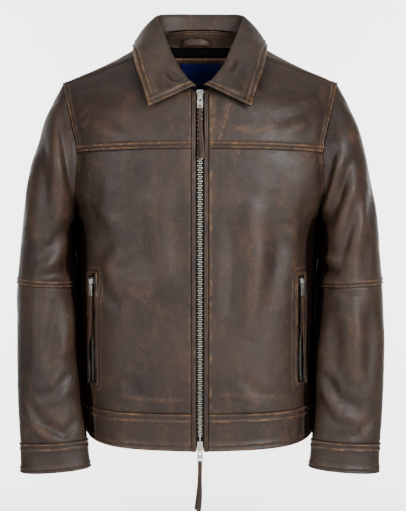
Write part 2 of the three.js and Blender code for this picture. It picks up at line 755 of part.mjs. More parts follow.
const jacket = new THREE.Group();
const finish = {
  leather: new THREE.MeshStandardMaterial({ color: leatherColour, roughness: 0.45, metalness: 0 }),
  wornLeather: new THREE.MeshStandardMaterial({ color: wornLeatherColour, roughness: 0.6, metalness: 0 }),
  metal: new THREE.MeshStandardMaterial({ color: metalColour, roughness: 0.3, metalness: 1 }),
  tape: new THREE.MeshStandardMaterial({ color: tapeColour, roughness: 0.9, metalness: 0 }),
  lining: new THREE.MeshStandardMaterial({ color: liningColour, roughness: 0.5, metalness: 0 }),
  label: new THREE.MeshStandardMaterial({ color: labelColour, roughness: 0.6, metalness: 0 }),
};

function add(name, geometry, material, parent = jacket) {
  const mesh = new THREE.Mesh(geometry, finish[material]);
  mesh.name = name;
  parent.add(mesh);
}

// A zip head in its frame; the pull tab and its leather lean inwards from the zip's line by an angle.
function addHead(name, place, size, { upsideDown = false, lean = 0, sway = 0, bow = 0 }) {
  jacket.add(place);
  add(`${name}_slider`, slider(size, upsideDown), "metal", place);
  const swing = new THREE.Group();
  swing.position.set(0, -sliderThickness - pivotHeight, 0);
  swing.rotation.x = lean;
  place.add(swing);
  add(`${name}_pull_tab`, pullTab(size), "metal", swing);
  add(`${name}_leather_pull`, leatherPull(size, sway, bow), "wornLeather", swing);
}

for (const side of ["left", "right"]) {
  add(`yoke_${side}`, plainPanel(yokeRows, 8, leather, side), "leather");
  add(`front_${side}`, lowerFront(side), "leather");
  add(`hem_band_front_${side}`, plainPanel(bandRows, 10, doubled, side), "leather");
  const placketTo = frontOpening + placketWidth;
  const placket = frontStrip(frontOpening, placketTo, -0.8, doubled, v.hem, v.frontNeck - 0.5, side);
  add(`placket_${side}`, placket, "leather");
  add(`zip_tape_${side}`, frontStrip(0.2, 13.5, 2.6, 0.8, v.hem + 2, v.frontNeck - 1, side), "tape");
  add(`zip_teeth_${side}`, frontStrip(0.2, 3.2, 0.4, 1.9, v.hem + 20, v.frontNeck - 6, side), "metal");

  add(`sleeve_upper_${side}`, sleeveTube(0, s.elbow, 11, leather, side), "leather");
  add(`sleeve_lower_${side}`, sleeveTube(s.elbow, s.cuffSeam, 7, leather, side), "leather");
  add(`cuff_${side}`, sleeveTube(s.cuffSeam, s.cuffHem + seamGap / 2, 1, doubled, side), "leather");

  const { top, bottom } = pocketSlot;
  const pocketTeeth = pocketStrip(side, bottom + 2, top - 13, -2.4, 2.4, -0.4, 1.8);
  add(`pocket_welt_${side}`, pocketWelt(side), "leather");
  add(`pocket_tape_${side}`, pocketStrip(side, bottom - 6, top + 6, -9, 9, -3.1, 0.8), "tape");
  add(`pocket_teeth_${side}`, pocketTeeth, "metal");
  const sway = side === "left" ? -2 : 1;
  addHead(`pocket_${side}`, frameOnPocket(side, top - 10), pocketHead, { sway });
}

add("back", backPanel(), "leather");
add("hem_band_back", backBand(), "leather");
add("collar", collar(), "leather");
add("neck_facing", innerPatch(66, neckHeight, facingBottom, 2.6, 1.2, 2), "leather");
add("back_lining", innerPatch(79, () => facingBottom - 0.5, -150, 2.6, 1.0, 5), "lining");
add("label_patch", innerPatch(62, () => -17, -84, 4.4, 1.0, 3), "leather");
add("label", innerPatch(35, () => -26, -71, 5.9, 1.0, 2, 4), "label");
add("hanging_loop", hangingLoop(), "leather");

addHead("zip_top", frameOnFront(v.frontNeck - 12), mainHead, { lean: 0.12, sway: 1.5, bow: -3 });
addHead("zip_bottom", frameOnFront(v.hem + 6), mainHead, { upsideDown: true, sway: -5 });

export default jacket;
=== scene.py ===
"""The looks of a worn leather jacket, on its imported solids.

It is a zip-front jacket of dark brown cowhide, waxed and then rubbed pale along its seams and folds. It
hangs filled out, as on its wearer's shoulders. Sizes are millimetres until a mesh is made, which is in
metres.
"""

import json
import math

import bpy
import numpy as np
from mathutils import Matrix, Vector


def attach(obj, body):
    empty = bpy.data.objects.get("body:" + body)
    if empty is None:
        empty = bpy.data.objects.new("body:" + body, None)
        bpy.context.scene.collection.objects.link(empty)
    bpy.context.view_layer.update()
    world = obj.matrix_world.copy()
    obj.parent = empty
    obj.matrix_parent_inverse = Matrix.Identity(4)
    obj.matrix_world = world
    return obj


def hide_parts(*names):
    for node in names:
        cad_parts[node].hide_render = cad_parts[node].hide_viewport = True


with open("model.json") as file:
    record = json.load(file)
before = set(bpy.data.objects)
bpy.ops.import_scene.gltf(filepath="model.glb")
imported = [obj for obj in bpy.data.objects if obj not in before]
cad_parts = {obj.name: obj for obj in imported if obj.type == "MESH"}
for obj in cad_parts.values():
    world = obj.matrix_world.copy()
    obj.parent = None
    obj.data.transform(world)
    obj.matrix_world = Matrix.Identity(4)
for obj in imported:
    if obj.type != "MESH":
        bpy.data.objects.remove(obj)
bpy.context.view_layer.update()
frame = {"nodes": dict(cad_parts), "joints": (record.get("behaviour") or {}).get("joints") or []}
nodes = frame["nodes"]

# ---- The cut of the jacket, in millimetres ------------------------------------------------------

LEATHER = 2.0
DOUBLED = 3.0
COLLAR = 2.4
FRONT_OPENING = 6.4
PLACKET = 7.6
HEM_FRONT, HEM_SIDE, HEM_BACK = -688, -677, -684
BAND_TOP, UNDERARM, YOKE = -622, -290, -181
SLOT_WIDTH, SLOT_TOP, SLOT_BOTTOM = 12, -395, -578
POCKET_X = 182
SETTLE_RIGHT = 12
STITCH = 6.0  # a row of stitches runs this far inside a seam's folded edge
STITCH_PITCH = 4.2


def level(middle_x, middle_y, half, middle_z, side_z, side_y=5, drawn_in=0):
    """A level section below the arm: from the middle, flat across, round the corner to the side seam.

    The corner is drawn in a little where the sleeve hangs in front of it.
    """
    share = 0.8
    return [
        (middle_x, middle_y, middle_z),
        (half * share, middle_y, middle_z + 0.2 * (side_z - middle_z)),
        (half - drawn_in, side_y + (middle_y - side_y) * share, middle_z + 0.7 * (side_z - middle_z)),
        (half, side_y, side_z),
    ]


FO = FRONT_OPENING
SECTIONS = np.array(
    [
        level(FO, -120, 203, HEM_FRONT, HEM_SIDE, 34, 22),
        level(FO, -123, 208, BAND_TOP - 2, BAND_TOP + 2, 34, 24),
        level(FO, -125, 212, -545, -545, 32, 27),
        level(FO, -126, 213.5, -480, -480, 28, 28),
        level(FO, -128, 214.5, -400, -400, 22, 27),
        level(FO, -129, 214.2, -325, -325, 14, 23),
        level(FO, -130, 214, UNDERARM, UNDERARM, 5, 15),
        [(FO, -130, -238), (140, -131, -240), (200, -112, -245), (209, -62, -250)],
        [(FO, -128, YOKE), (118, -131, YOKE - 1), (186, -112, YOKE - 4), (205, -77, YOKE - 7)],
        [(FO, -120, -132), (92, -125, -133), (172, -112, -139), (214, -68, -148)],
        [(FO, -104, -85), (75, -115, -88), (165, -98, -102), (222, -52, -118)],
        [(30, -86, -74), (88, -100, -76), (170, -82, -90), (228, -36, -97)],
        [(52, -63, -56), (98, -72, -58), (178, -58, -80), (232, -22, -84)],
        [(70, -34, -30), (112, -38, -36), (184, -32, -66), (235, -10, -74)],
        [(80, 2, 0), (130, 4, -21), (188, 6, -46), (238, 5, -70)],
        [(77, 38, 22), (120, 44, -8), (182, 44, -52), (234, 30, -80)],
        [(40, 55, 30), (92, 68, 12), (176, 72, -70), (227, 58, -105)],
        [(0, 58, 32), (58, 70, 20), (168, 90, -95), (217, 76, -140)],
        [(0, 74, -10), (66, 82, -14), (164, 102, -130), (211, 86, -180)],
        [(0, 93, -70), (80, 98, -76), (166, 110, -185), (209, 82, -228)],
        [(0, 110, -150), (100, 113, -156), (180, 112, -235), (211, 55, -270)],
        level(0, 119, 214, UNDERARM, UNDERARM, 5, -10),
        level(0, 118, 214.2, -325, -325, 14, -42),
        level(0, 115, 214.5, -400, -400, 22, -34),
        level(0, 110, 213.5, -480, -480, 28, -30),
        level(0, 109, 212, -545, -545, 32, -26),
        level(0, 111, 208, BAND_TOP - 2, BAND_TOP + 2, 34, -20),
        level(0, 110, 203, HEM_BACK, HEM_SIDE, 34, -15),
    ],
    float,
)
AT_UNDERARM, AT_BACK_UNDERARM = 6, 21

# Each ring of the right sleeve is given by its outermost, innermost, front and back points.
SLEEVE_RINGS = np.array(
    [
        [(262, 2, -118), (217, 8, -306), (232, -84, -200), (236, 92, -205)],
        [(285, 0, -190), (217.8, 8, -330), (250, -82, -258), (254, 86, -258)],
        [(304, -3, -285), (218, 4, -368), (262, -76, -326), (264, 74, -326)],
        [(316, -8, -413), (214, -4, -419), (265, -72, -416), (265, 58, -414)],
        [(318, -16, -484), (211.5, -12, -486), (264, -72, -485), (264, 46, -484)],
        [(317.5, -24, -545), (208.5, -20, -545), (262, -70, -545), (262, 34, -545)],
        [(314, -32, -630), (201, -30, -630), (257, -68, -630), (257, 10, -630)],
        [(310.7, -38, -686.5), (195, -36, -680), (252, -67, -684), (252, -9, -684)],
        [(310, -41, -738), (190, -39, -729), (250, -69, -735), (250, -12, -733)],
    ],
    float,
)
ELBOW_RING, CUFF_RING, HEM_RING = 4, 8, 9

# The collar's neck seam, roll line and outer edge, and its bow, from its front end to the middle back.
COLLAR_NECK = [(8, -105.5, -82), (30, -84, -71), (51, -61, -53), (67, -33, -27), (74, 0, 5), (71, 34, 20)]
COLLAR_NECK += [(39, 52, 27.5), (0, 55, 29.3)]
COLLAR_ROLL = [(9, -110, -79), (23, -88, -61), (38, -64, -38), (52, -33, -6), (65, 4, 28), (74, 40, 53)]
COLLAR_ROLL += [(41, 56, 58), (0, 59, 59)]
COLLAR_EDGE = [(85, -127, -115), (94, -120, -86), (104, -101, -57), (109, -64, -32), (112, -16, -10)]
COLLAR_EDGE += [(110, 44, 0), (60, 90, -1), (0, 93, -6)]
COLLAR_BOW = [1, 3, 5, 7, 8, 10, 8, 7]

# ---- Curves and surfaces ------------------------------------------------------------------------


def curve(knots, points, t, corners=()):
    """The places at t on the smooth curve through the points; at a corner its slope may jump."""
    shape = (-1,) + (1,) * (points.ndim - 1)
    h = np.diff(knots).reshape(shape)
    step = np.diff(points, axis=0) / h
    middle = (step[:-1] * h[1:] + step[1:] * h[:-1]) / (h[:-1] + h[1:])
    arriving = np.concatenate([step[:1], middle, step[-1:]])
    leaving = arriving.copy()
    for c in corners:
        arriving[c], leaving[c] = step[c - 1], step[c]
    t = np.asarray(t, float)
    i = np.clip(np.searchsorted(knots, t, side="right") - 1, 0, len(knots) - 2)
    wide = t.shape + (1,) * (points.ndim - 1)
    length = (knots[i + 1] - knots[i]).reshape(wide)
    s = (t - knots[i]).reshape(wide) / length
    return (
        points[i] * (1 + 2 * s) * (1 - s) ** 2
        + leaving[i] * length * s * (1 - s) ** 2
        + points[i + 1] * s * s * (3 - 2 * s)
        + arriving[i + 1] * length * s * s * (s - 1)
    )


def body_knots():
    gaps = np.linalg.norm(np.diff(SECTIONS, axis=0), axis=2)
    i = np.arange(1, len(SECTIONS))
    below = (i <= AT_UNDERARM) | (i > AT_BACK_UNDERARM)
    return np.concatenate([[0], np.cumsum(np.where(below, gaps[:, 3], gaps.mean(axis=1)))])


BODY_KNOTS = body_knots()
V_HEM, V_BAND, V_UNDERARM, V_YOKE, V_NECK, V_RIDGE, V_NAPE = BODY_KNOTS[[0, 1, 6, 8, 10, 14, 17]]
V_BACK_UNDERARM, V_BACK_BAND, V_BACK_HEM = BODY_KNOTS[[21, 26, 27]]
V_SHOULDER = BODY_KNOTS[13] + 0.55 * (V_RIDGE - BODY_KNOTS[13])


def body_point(u, v):
    """Places on the half body: u from the middle to the arm, v from the front hem over to the back hem."""
    u, v = np.broadcast_arrays(np.asarray(u, float), np.asarray(v, float))
    inner = curve(BODY_KNOTS, SECTIONS[:, :3], v)
    edge = curve(BODY_KNOTS, SECTIONS[:, 3:], v, (AT_UNDERARM, AT_BACK_UNDERARM))
    shares = np.stack([(1 - u) ** 3, 3 * u * (1 - u) ** 2, 3 * u * u * (1 - u), u**3], axis=-1)
    return (np.concatenate([inner, edge], axis=-2) * shares[..., None]).sum(axis=-2)


def u_at_x(x, v):
    """Where across the sheet an x is reached, or 0 where the whole section lies beyond it."""
    v = np.asarray(v, float)
    low, high = np.zeros_like(v), np.ones_like(v)
    for _ in range(24):
        middle = (low + high) / 2
        short = body_point(middle, v)[..., 0] < x
        low, high = np.where(short, middle, low), np.where(short, high, middle)
    return low


def place_at(x, z, u, v):
    """(u, v) of the place on the sheet with this x and z, searched from a first guess."""
    for _ in range(25):
        p = body_point(u, v)
        pu = (body_point(u + 1e-3, v) - p) / 1e-3
        pv = (body_point(u, v + 0.5) - p) / 0.5
        det = pu[..., 0] * pv[..., 2] - pv[..., 0] * pu[..., 2]
        dx, dz = x - p[..., 0], z - p[..., 2]
        u = np.clip(u + (dx * pv[..., 2] - dz * pv[..., 0]) / det, 0, 0.98)
        v = v + (dz * pu[..., 0] - dx * pu[..., 2]) / det
    return u, v


def armhole(turn):
    """v on the body's arm edge for an angle round it: 0 at the shoulder, a half turn at the underarm."""
    turn = np.asarray(turn, float) % (2 * math.pi)
    front = np.linspace(V_RIDGE, V_UNDERARM, 61)
    back = np.linspace(V_RIDGE, V_BACK_UNDERARM, 61)
    share = np.where(turn <= math.pi, turn / math.pi, 2 - turn / math.pi)
    result = []
    for heights in (front, back):
        gaps = np.linalg.norm(np.diff(body_point(1.0, heights), axis=0), axis=1)
        run = np.concatenate([[0], np.cumsum(gaps)])
        result.append(np.interp(share * run[-1], run, heights))
    return np.where(turn <= math.pi, result[0], result[1])


def ring_points(turn):
    """The ten rings of the sleeve at the angles: the armhole first, then down to the cuff's hem."""
    outer, inner, front, back = (SLEEVE_RINGS[:, k, None, :] for k in range(4))
    centre = (outer + inner) / 2
    side = np.where(np.sin(turn)[None, :, None] > 0, front - centre, centre - back)
    rings = centre + (outer - centre) * np.cos(turn)[None, :, None] + side * np.sin(turn)[None, :, None]
    return np.concatenate([body_point(1.0, armhole(turn))[None], rings])


def sleeve_knots():
    quarter = ring_points(np.array([0, 2, 1, 3]) * math.pi / 2)
    gaps = np.linalg.norm(np.diff(quarter, axis=0), axis=2).mean(axis=1)
    return np.concatenate([[0], np.cumsum(gaps)])


SLEEVE_KNOTS = sleeve_knots()


def collar_point(along, across):
    """Places on the folded collar: across is 0 at the neck seam, 1 at the roll and 2 at the outer edge."""
    knots = np.arange(len(COLLAR_BOW), dtype=float)
    neck, roll, edge = (
        curve(knots, np.array(line, float), along) for line in (COLLAR_NECK, COLLAR_ROLL, COLLAR_EDGE)
    )
    bow = np.interp(along, knots, COLLAR_BOW)[..., None]
    s = across[..., None]
    stand = neck + (roll - neck) * np.clip(s, 0, 1)
    t = np.clip(s - 1, 0, 1)
    outward = roll * [1, 1, 0]
    outward = outward / np.linalg.norm(outward, axis=-1, keepdims=True)
    fall = roll + (edge - roll) * t + outward * bow * np.sin(math.pi * t) ** 0.8
    return np.where(s <= 1, stand, fall)


def place(points, side):
    """Right-side places moved to their own side; below the arm the right side sits a little further in."""
    if side == "left":
        return points * [-1, 1, 1]
    below = ramp(-points[..., 2], 230, 340) * (1 - 0.8 * ramp(-points[..., 2], 540, 680))
    across = np.clip((points[..., 0] - 40) / 280, 0, 1)
    moved = points.copy()
    moved[..., 0] -= SETTLE_RIGHT * below * np.sin(math.pi * across) ** 2
    return moved


def ramp(x, start, end):
    """0 before start and 1 after end, with a soft change between."""
    t = np.clip((np.asarray(x, float) - start) / (end - start), 0, 1)
    return t * t * (3 - 2 * t)


def bump(x, centre, width):
    return np.exp(-(((x - centre) / width) ** 2))


def lumps(points, size, seed=0):
    """Smooth noise from -1 to 1 with lumps of about this size in mm."""
    q = np.asarray(points) / np.asarray(size, float) + 31.7 * seed
    i = np.floor(q).astype(np.int64)
    f = q - i
    f = f * f * (3 - 2 * f)
    total = 0
    for corner in np.ndindex(2, 2, 2):
        n = (i + corner) * np.array([73856093, 19349663, 83492791])
        n = n[..., 0] ^ n[..., 1] ^ n[..., 2]
        n = ((n ^ (n >> 13)) * 1274126177) & 0x7FFFFFFF
        share = np.prod(np.where(corner, f, 1 - f), axis=-1)
        total = total + share * (n / 0x3FFFFFFF - 1)
    return total


def normals(points, closed=False):
    """Unit normals of a grid of places, from its own rows and columns."""
    down = np.gradient(points, axis=0)
    if closed:
        across = np.roll(points, -1, axis=1) - np.roll(points, 1, axis=1)
    else:
        across = np.gradient(points, axis=1)
    n = np.cross(across, down)
    return n / np.maximum(np.linalg.norm(n, axis=-1, keepdims=True), 1e-9)


def run(points, axis):
    """Lengths along the rows or columns of a grid, from its start."""
    gaps = np.linalg.norm(np.diff(points, axis=axis), axis=-1)
    total = np.cumsum(gaps, axis=axis)
    return np.concatenate([np.zeros_like(np.take(total, [0], axis=axis)), total], axis=axis)


def spaced(length, step=3.0, fine=1.0, ends=(15, 15)):
    """Shares of a length: close together near each seamed end and wider apart between."""
    first = np.arange(0, ends[0], fine)
    last = length - np.arange(0, ends[1], fine)[::-1]
    start, stop = ends[0], length - ends[1]
    middle = np.linspace(start, stop, max(int((stop - start) / step), 1) + 1)
    if not ends[1]:
        last = np.array([])
    if not ends[0]:
        first = np.array([])
    return np.unique(np.round(np.concatenate([first, middle, last]), 4)) / length


# ---- Folds and seams ----------------------------------------------------------------------------


FOLD_DEPTH = 1.4


def strokes(points, n, drawn):
    """Height of soft ridges (above 0) and troughs (below 0) along drawn lines of (x, z), front or back.

    Each is (side, height, width, line). It fades to both of its ends and on cloth that turns away.
    """
    total = np.zeros(points.shape[:-1])
    flat = points[..., [0, 2]]
    for facing, height, width, line in drawn:
        line = np.array(line, float)
        legs = np.diff(line, axis=0)
        lengths = np.linalg.norm(legs, axis=1)
        best = np.full(total.shape, 1e9)
        along = np.zeros(total.shape)
        done = 0
        for start, leg, length in zip(line, legs, lengths):
            t = np.clip(((flat - start) @ leg) / length**2, 0, 1)
            away = np.linalg.norm(flat - start - t[..., None] * leg, axis=-1)
            along = np.where(away < best, (done + t * length) / lengths.sum(), along)
            best = np.minimum(best, away)
            done += length
        sign = -1 if facing == "front" else 1
        shows = ramp(sign * n[..., 1], -0.1, 0.35)
        height = FOLD_DEPTH * height
        total += height * shows * bump(best, 0, width) * np.clip(np.sin(math.pi * along), 0, 1) ** 0.6
        total -= 0.3 * height * shows * bump(best, 1.9 * width, 0.9 * width) * np.sin(math.pi * along)
    return total


def lapped(d, points, row=STITCH, height=1.0):
    """A folded edge laid over its neighbour and stitched down: a ridge, the groove and a second ridge."""
    uneven = 1 + 0.55 * lumps(points, 11, 3) + 0.3 * lumps(points, 5, 4)
    ridges = 1.2 * bump(d, 2.2, 1.9) + 0.85 * bump(d, row + 3.8, 2.6)
    groove = 0.75 * bump(d, row, 1.3) + 1.3 * bump(d, 0, 0.8)
    return height * (ridges * uneven - groove + 0.8 * (1 - ramp(d, row + 2, row + 9)))


def tucked(d, points):
    """The edge that goes in under a folded one, drawn in by its stitches."""
    return -0.9 * bump(d, 0, 2.2) + 0.5 * lumps(points, 9, 5) * bump(d, 7, 6)


def waviness(points, strength=1.0):
    """The slack of the hide between its seams."""
    return strength * (1.5 * lumps(points, 95, 1) + 0.7 * lumps(points, 38, 2) + 0.18 * lumps(points, 13, 6))


# ---- Meshes -------------------------------------------------------------------------------------


def mesh_object(name, verts, faces, material):
    """A smooth-shaded mesh from places in mm."""
    mesh = bpy.data.meshes.new(name)
    mesh.from_pydata((np.asarray(verts) * 0.001).tolist(), [], [list(f) for f in faces])
    mesh.polygons.foreach_set("use_smooth", np.ones(len(mesh.polygons), bool))
    for m in material if isinstance(material, (list, tuple)) else [material]:
        mesh.materials.append(m)
    obj = bpy.data.objects.new(name, mesh)
    bpy.context.scene.collection.objects.link(obj)
    return obj


def grid_faces(rows, columns, closed=False, keep=None):
    """The quads of a grid of places, row by row; closed joins its last column to its first."""
    i, j = np.meshgrid(np.arange(rows - 1), np.arange(columns if closed else columns - 1), indexing="ij")
    k = (j + 1) % columns
    upper, lower = i * columns, (i + 1) * columns
    faces = np.stack([upper + j, upper + k, lower + k, lower + j], axis=-1)
    if keep is not None:
        faces = faces[keep]
    return faces.reshape(-1, 4)


def cloth(name, points, thickness, rub=0.0, closed=False, keep=None, side="right", skins=None,
          body="jacket"):
    """A thin shell from the grid of its outer face.

    Each corner has a rub value: above 0 the leather is worn pale there, and below 0 it is darkened: painted
    shade in grooves, hollows and beside the sleeves, and dark waxy patches where random lumps dip below 0.
    """
    rows, columns = points.shape[:2]
    faces = grid_faces(rows, columns, closed, keep)
    if side == "left":
        faces = faces[:, ::-1]
    obj = mesh_object(name + "_shell", points.reshape(-1, 3), faces, skins or [leather, lining_satin])
    worn = obj.data.attributes.new("rub", "FLOAT", "POINT")
    worn.data.foreach_set("value", np.broadcast_to(rub, (rows, columns)).ravel().astype(np.float32))
    wall = obj.modifiers.new("wall", "SOLIDIFY")
    wall.thickness = thickness * 0.001
    wall.offset = -1
    wall.material_offset = len(obj.data.materials) - 1
    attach(obj, body)
    return obj


def stitch_row(path, n, pitch=STITCH_PITCH, length=3.0, radius=0.42):
    """Corners and faces of a row of stitches along a path of places in mm."""
    lengths = run(path[:, None], 0)[:, 0]
    count = int(lengths[-1] / pitch)
    starts = (np.arange(count) + 0.5) * pitch - length / 2
    t = np.linspace(0, 1, 4)
    along = starts[:, None] + t * length
    centre = np.stack([np.interp(along, lengths, path[:, k]) for k in range(3)], axis=-1)
    up = np.stack([np.interp(along, lengths, n[:, k]) for k in range(3)], axis=-1)
    up /= np.linalg.norm(up, axis=-1, keepdims=True)
    forward = np.gradient(centre, axis=1)
    aside = np.cross(up, forward)
    aside /= np.linalg.norm(aside, axis=-1, keepdims=True)
    centre = centre + up * (0.5 * np.sin(math.pi * t) - 0.15)[None, :, None]
    ring = np.linspace(0, 2 * math.pi, 5, endpoint=False)
    full = radius * (0.45 + 0.55 * np.sin(math.pi * t)[None, :, None, None])
    sideways, upwards = (wave(ring)[None, None, :, None] for wave in (np.cos, np.sin))
    verts = centre[:, :, None] + full * (sideways * aside[:, :, None] + upwards * up[:, :, None])
    faces = grid_faces(4, 5, closed=True)
    every = (np.arange(count) * 20)[:, None, None] + faces[None]
    return verts.reshape(-1, 3), every.reshape(-1, 4)


def sew(name, rows, material=None, body="jacket"):
    """One piece that holds several rows of stitches."""
    verts, faces, count = [], [], 0
    for path, n in rows:
        v, f = stitch_row(path, n)
        verts.append(v)
        faces.append(f + count)
        count += len(v)
    obj = mesh_object(name, np.concatenate(verts), np.concatenate(faces), material or thread)
    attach(obj, body)
    return obj


# ---- Materials ----------------------------------------------------------------------------------


def linear(code):
    """A colour written as sRGB hex, as the linear values that a shader takes."""
    channels = [int(code[i : i + 2], 16) / 255 for i in (1, 3, 5)]
    return [c / 12.92 if c <= 0.04045 else ((c + 0.055) / 1.055) ** 2.4 for c in channels] + [1]


def add(tree, kind, inputs=None, gives=0, **settings):
    """Adds a shader node and gives back one of its outputs; an input takes a value or another's output."""
    made = tree.nodes.new(kind)
    for key, value in settings.items():
        setattr(made, key, value)
    for key, value in (inputs or {}).items():
        if isinstance(value, bpy.types.NodeSocket):
            tree.links.new(value, made.inputs[key])
        else:
            made.inputs[key].default_value = value
    return made.outputs[gives] if made.outputs else made


def new_material(name):
    """An empty material, its nodes, and the places in metres that its patterns follow."""
    material = bpy.data.materials.new(name)
    material.use_nodes = True
    tree = material.node_tree
    tree.nodes.clear()
    return material, tree, add(tree, "ShaderNodeTexCoord", gives="Object")


def finished(material, tree, inputs):
    """The material with its surface made from these inputs."""
    surface = add(tree, "ShaderNodeBsdfPrincipled", inputs)
    add(tree, "ShaderNodeOutputMaterial", {"Surface": surface})
    return material


def between(value, start, full, low=0.0, high=1.0):
    """Inputs of a map range, which gives low where the value is at start and high where it is at full."""
    return {"Value": value, "From Min": start, "From Max": full, "To Min": low, "To Max": high}


def patches(at, size_mm, detail=3.0, rough=0.55, warp=0.0):
    """Inputs of a noise with patches of about this size."""
    return {"Vector": at, "Scale": 1000 / size_mm, "Detail": detail, "Roughness": rough, "Distortion": warp}


def layered(tree, under, layers):
    """A colour with others laid over it in turn, each as thickly as its map range says."""
    colour = linear(under)
    for over, cover, change in layers:
        share = add(tree, "ShaderNodeMapRange", cover, interpolation_type=change)
        inputs = {"Factor": share, 6: colour, 7: linear(over)}
        colour = add(tree, "ShaderNodeMix", inputs, gives=2, data_type="RGBA")
    return colour


SOFT = "SMOOTHSTEP"
WAX_AND_SHADE = "#0c0806"  # the dark of waxy patches, and painted shade in grooves, hollows and beside the sleeves


def waxed_leather(name, base, lit, rubbed, tan, shine=0.48):
    """Full-grain cowhide, drum-dyed, waxed and rubbed back by hand.

    The flat of the hide is cloudy where the wax was wiped, and the raised places, such as seams and fold
    crests, are rubbed through to the tan of the hide. Where the rub value is below 0 the colour goes to near
    black: painted shade in the seam grooves, the hollows and between sleeve and body, and dark waxy patches
    where random lumps dip below 0.
    Where it is deepest the leather is also made dull, with no reflection.
    """
    material, tree, at = new_material(name)
    worn = add(tree, "ShaderNodeAttribute", gives="Fac", attribute_name="rub")
    drawn = add(tree, "ShaderNodeMapping", {"Vector": at, "Scale": (1.0, 1.0, 0.32)})
    cloud = add(tree, "ShaderNodeTexNoise", patches(at, 120, 4, 0.6, 0.4))
    patch = add(tree, "ShaderNodeTexNoise", patches(at, 34, 5, 0.62, 0.6))
    fleck = add(tree, "ShaderNodeTexNoise", patches(at, 7, 4, 0.7))
    wiped = add(tree, "ShaderNodeTexNoise", patches(drawn, 22, 4, 0.65, 0.3))
    mottle = add(tree, "ShaderNodeTexNoise", patches(at, 3.4, 3, 0.7))
    in_patches, in_worn = (
        add(tree, "ShaderNodeMapRange", between(fleck, *reach), interpolation_type=SOFT)
        for reach in ((0.38, 0.62, 0.15, 0.8), (0.36, 0.62, 0.2, 0.9))
    )
    layers = [
        (lit, between(cloud, 0.36, 0.64), SOFT),
        (rubbed, between(wiped, 0.5, 0.74, 0, 0.5), SOFT),
        (rubbed, between(patch, 0.5, 0.72, 0, in_patches), SOFT),
        (rubbed, between(mottle, 0.42, 0.7, 0, 0.3), SOFT),
        (tan, between(worn, 0, 1, 0, in_worn), "LINEAR"),
        # Painted shade: where the rub value is below 0, the colour goes to near black.
        (WAX_AND_SHADE, between(worn, 0, -0.9, 0, 0.85), SOFT),
    ]
    # The real grain is about 0.8 mm across. It is twice as coarse here, so that it doesn't shimmer.
    pebble = add(tree, "ShaderNodeTexVoronoi", {"Vector": at, "Scale": 1000 / 1.7}, feature="SMOOTH_F1")
    wrinkle = add(tree, "ShaderNodeTexNoise", patches(at, 6.5, 5, 0.6, 1.2))
    low = add(tree, "ShaderNodeBump", {"Height": wrinkle, "Strength": 0.25, "Distance": 0.0014})
    inputs = {"Height": pebble, "Strength": 0.5, "Distance": 0.0005, "Normal": low}
    fine = add(tree, "ShaderNodeBump", inputs)
    inputs = between(patch, 0.35, 0.65, shine - 0.04, shine + 0.08)
    polish = add(tree, "ShaderNodeMapRange", inputs, interpolation_type=SOFT)
    inputs = {0: worn, 1: 0.1, 2: polish}
    handled = add(tree, "ShaderNodeMath", inputs, operation="MULTIPLY_ADD", use_clamp=True)
    dull = add(tree, "ShaderNodeMapRange", between(worn, -0.4, -0.8, handled, 1), interpolation_type=SOFT)
    gloss = add(tree, "ShaderNodeMapRange", between(worn, -0.4, -0.8, 0.42, 0), interpolation_type=SOFT)
    inputs = {"Base Color": layered(tree, base, layers), "Roughness": dull, "Normal": fine}
    return finished(material, tree, {**inputs, "Specular IOR Level": gloss})


def woven(name, colour, light, thread_mm, shine, gloss=0.4):
    """Cloth woven of fine thread, whose crossing threads catch the light in turn as a fine check."""
    material, tree, at = new_material(name)
    threads = []
    for axis in ("X", "Z"):
        inputs = {"Vector": at, "Scale": 314.16 / thread_mm / 2, "Distortion": 0.4}
        threads.append(add(tree, "ShaderNodeTexWave", inputs, gives="Fac", bands_direction=axis))
    weave = add(tree, "ShaderNodeMath", {0: threads[0], 1: threads[1]}, operation="MULTIPLY")
    raised = add(tree, "ShaderNodeBump", {"Height": weave, "Strength": 0.5, "Distance": 0.0003})
    tone = layered(tree, colour, [(light, between(weave, 0.1, 0.6), SOFT)])
    inputs = {"Base Color": tone, "Normal": raised, "Roughness": shine, "Specular IOR Level": gloss}
    return finished(material, tree, inputs)


def cast_metal(name, colour, dark, shine):
    """Die-cast zinc, nickel plated: bright on its faces, greyer where dust stays, with fine rub marks."""
    material, tree, at = new_material(name)
    dust = add(tree, "ShaderNodeTexNoise", patches(at, 5, 4, 0.6))
    marks = add(tree, "ShaderNodeTexNoise", patches(at, 1.2, 3, 0.6))
    inputs = between(marks, 0.3, 0.7, shine, shine + 0.16)
    rough = add(tree, "ShaderNodeMapRange", inputs, interpolation_type=SOFT)
    raised = add(tree, "ShaderNodeBump", {"Height": marks, "Strength": 0.15, "Distance": 0.0002})
    tone = layered(tree, colour, [(dark, between(dust, 0.5, 0.75, 0, 0.7), SOFT)])
    inputs = {"Base Color": tone, "Roughness": rough, "Normal": raised, "Metallic": 1}
    return finished(material, tree, inputs)


def studio_paper():
    """Matt white background paper, a little uneven in tone."""
    material, tree, at = new_material("studio_paper")
    grain = add(tree, "ShaderNodeTexNoise", patches(at, 300, 3))
    tone = layered(tree, "#f6f5f4", [("#f1f0ee", between(grain, 0, 1), "LINEAR")])
    return finished(material, tree, {"Base Color": tone, "Roughness": 0.9})


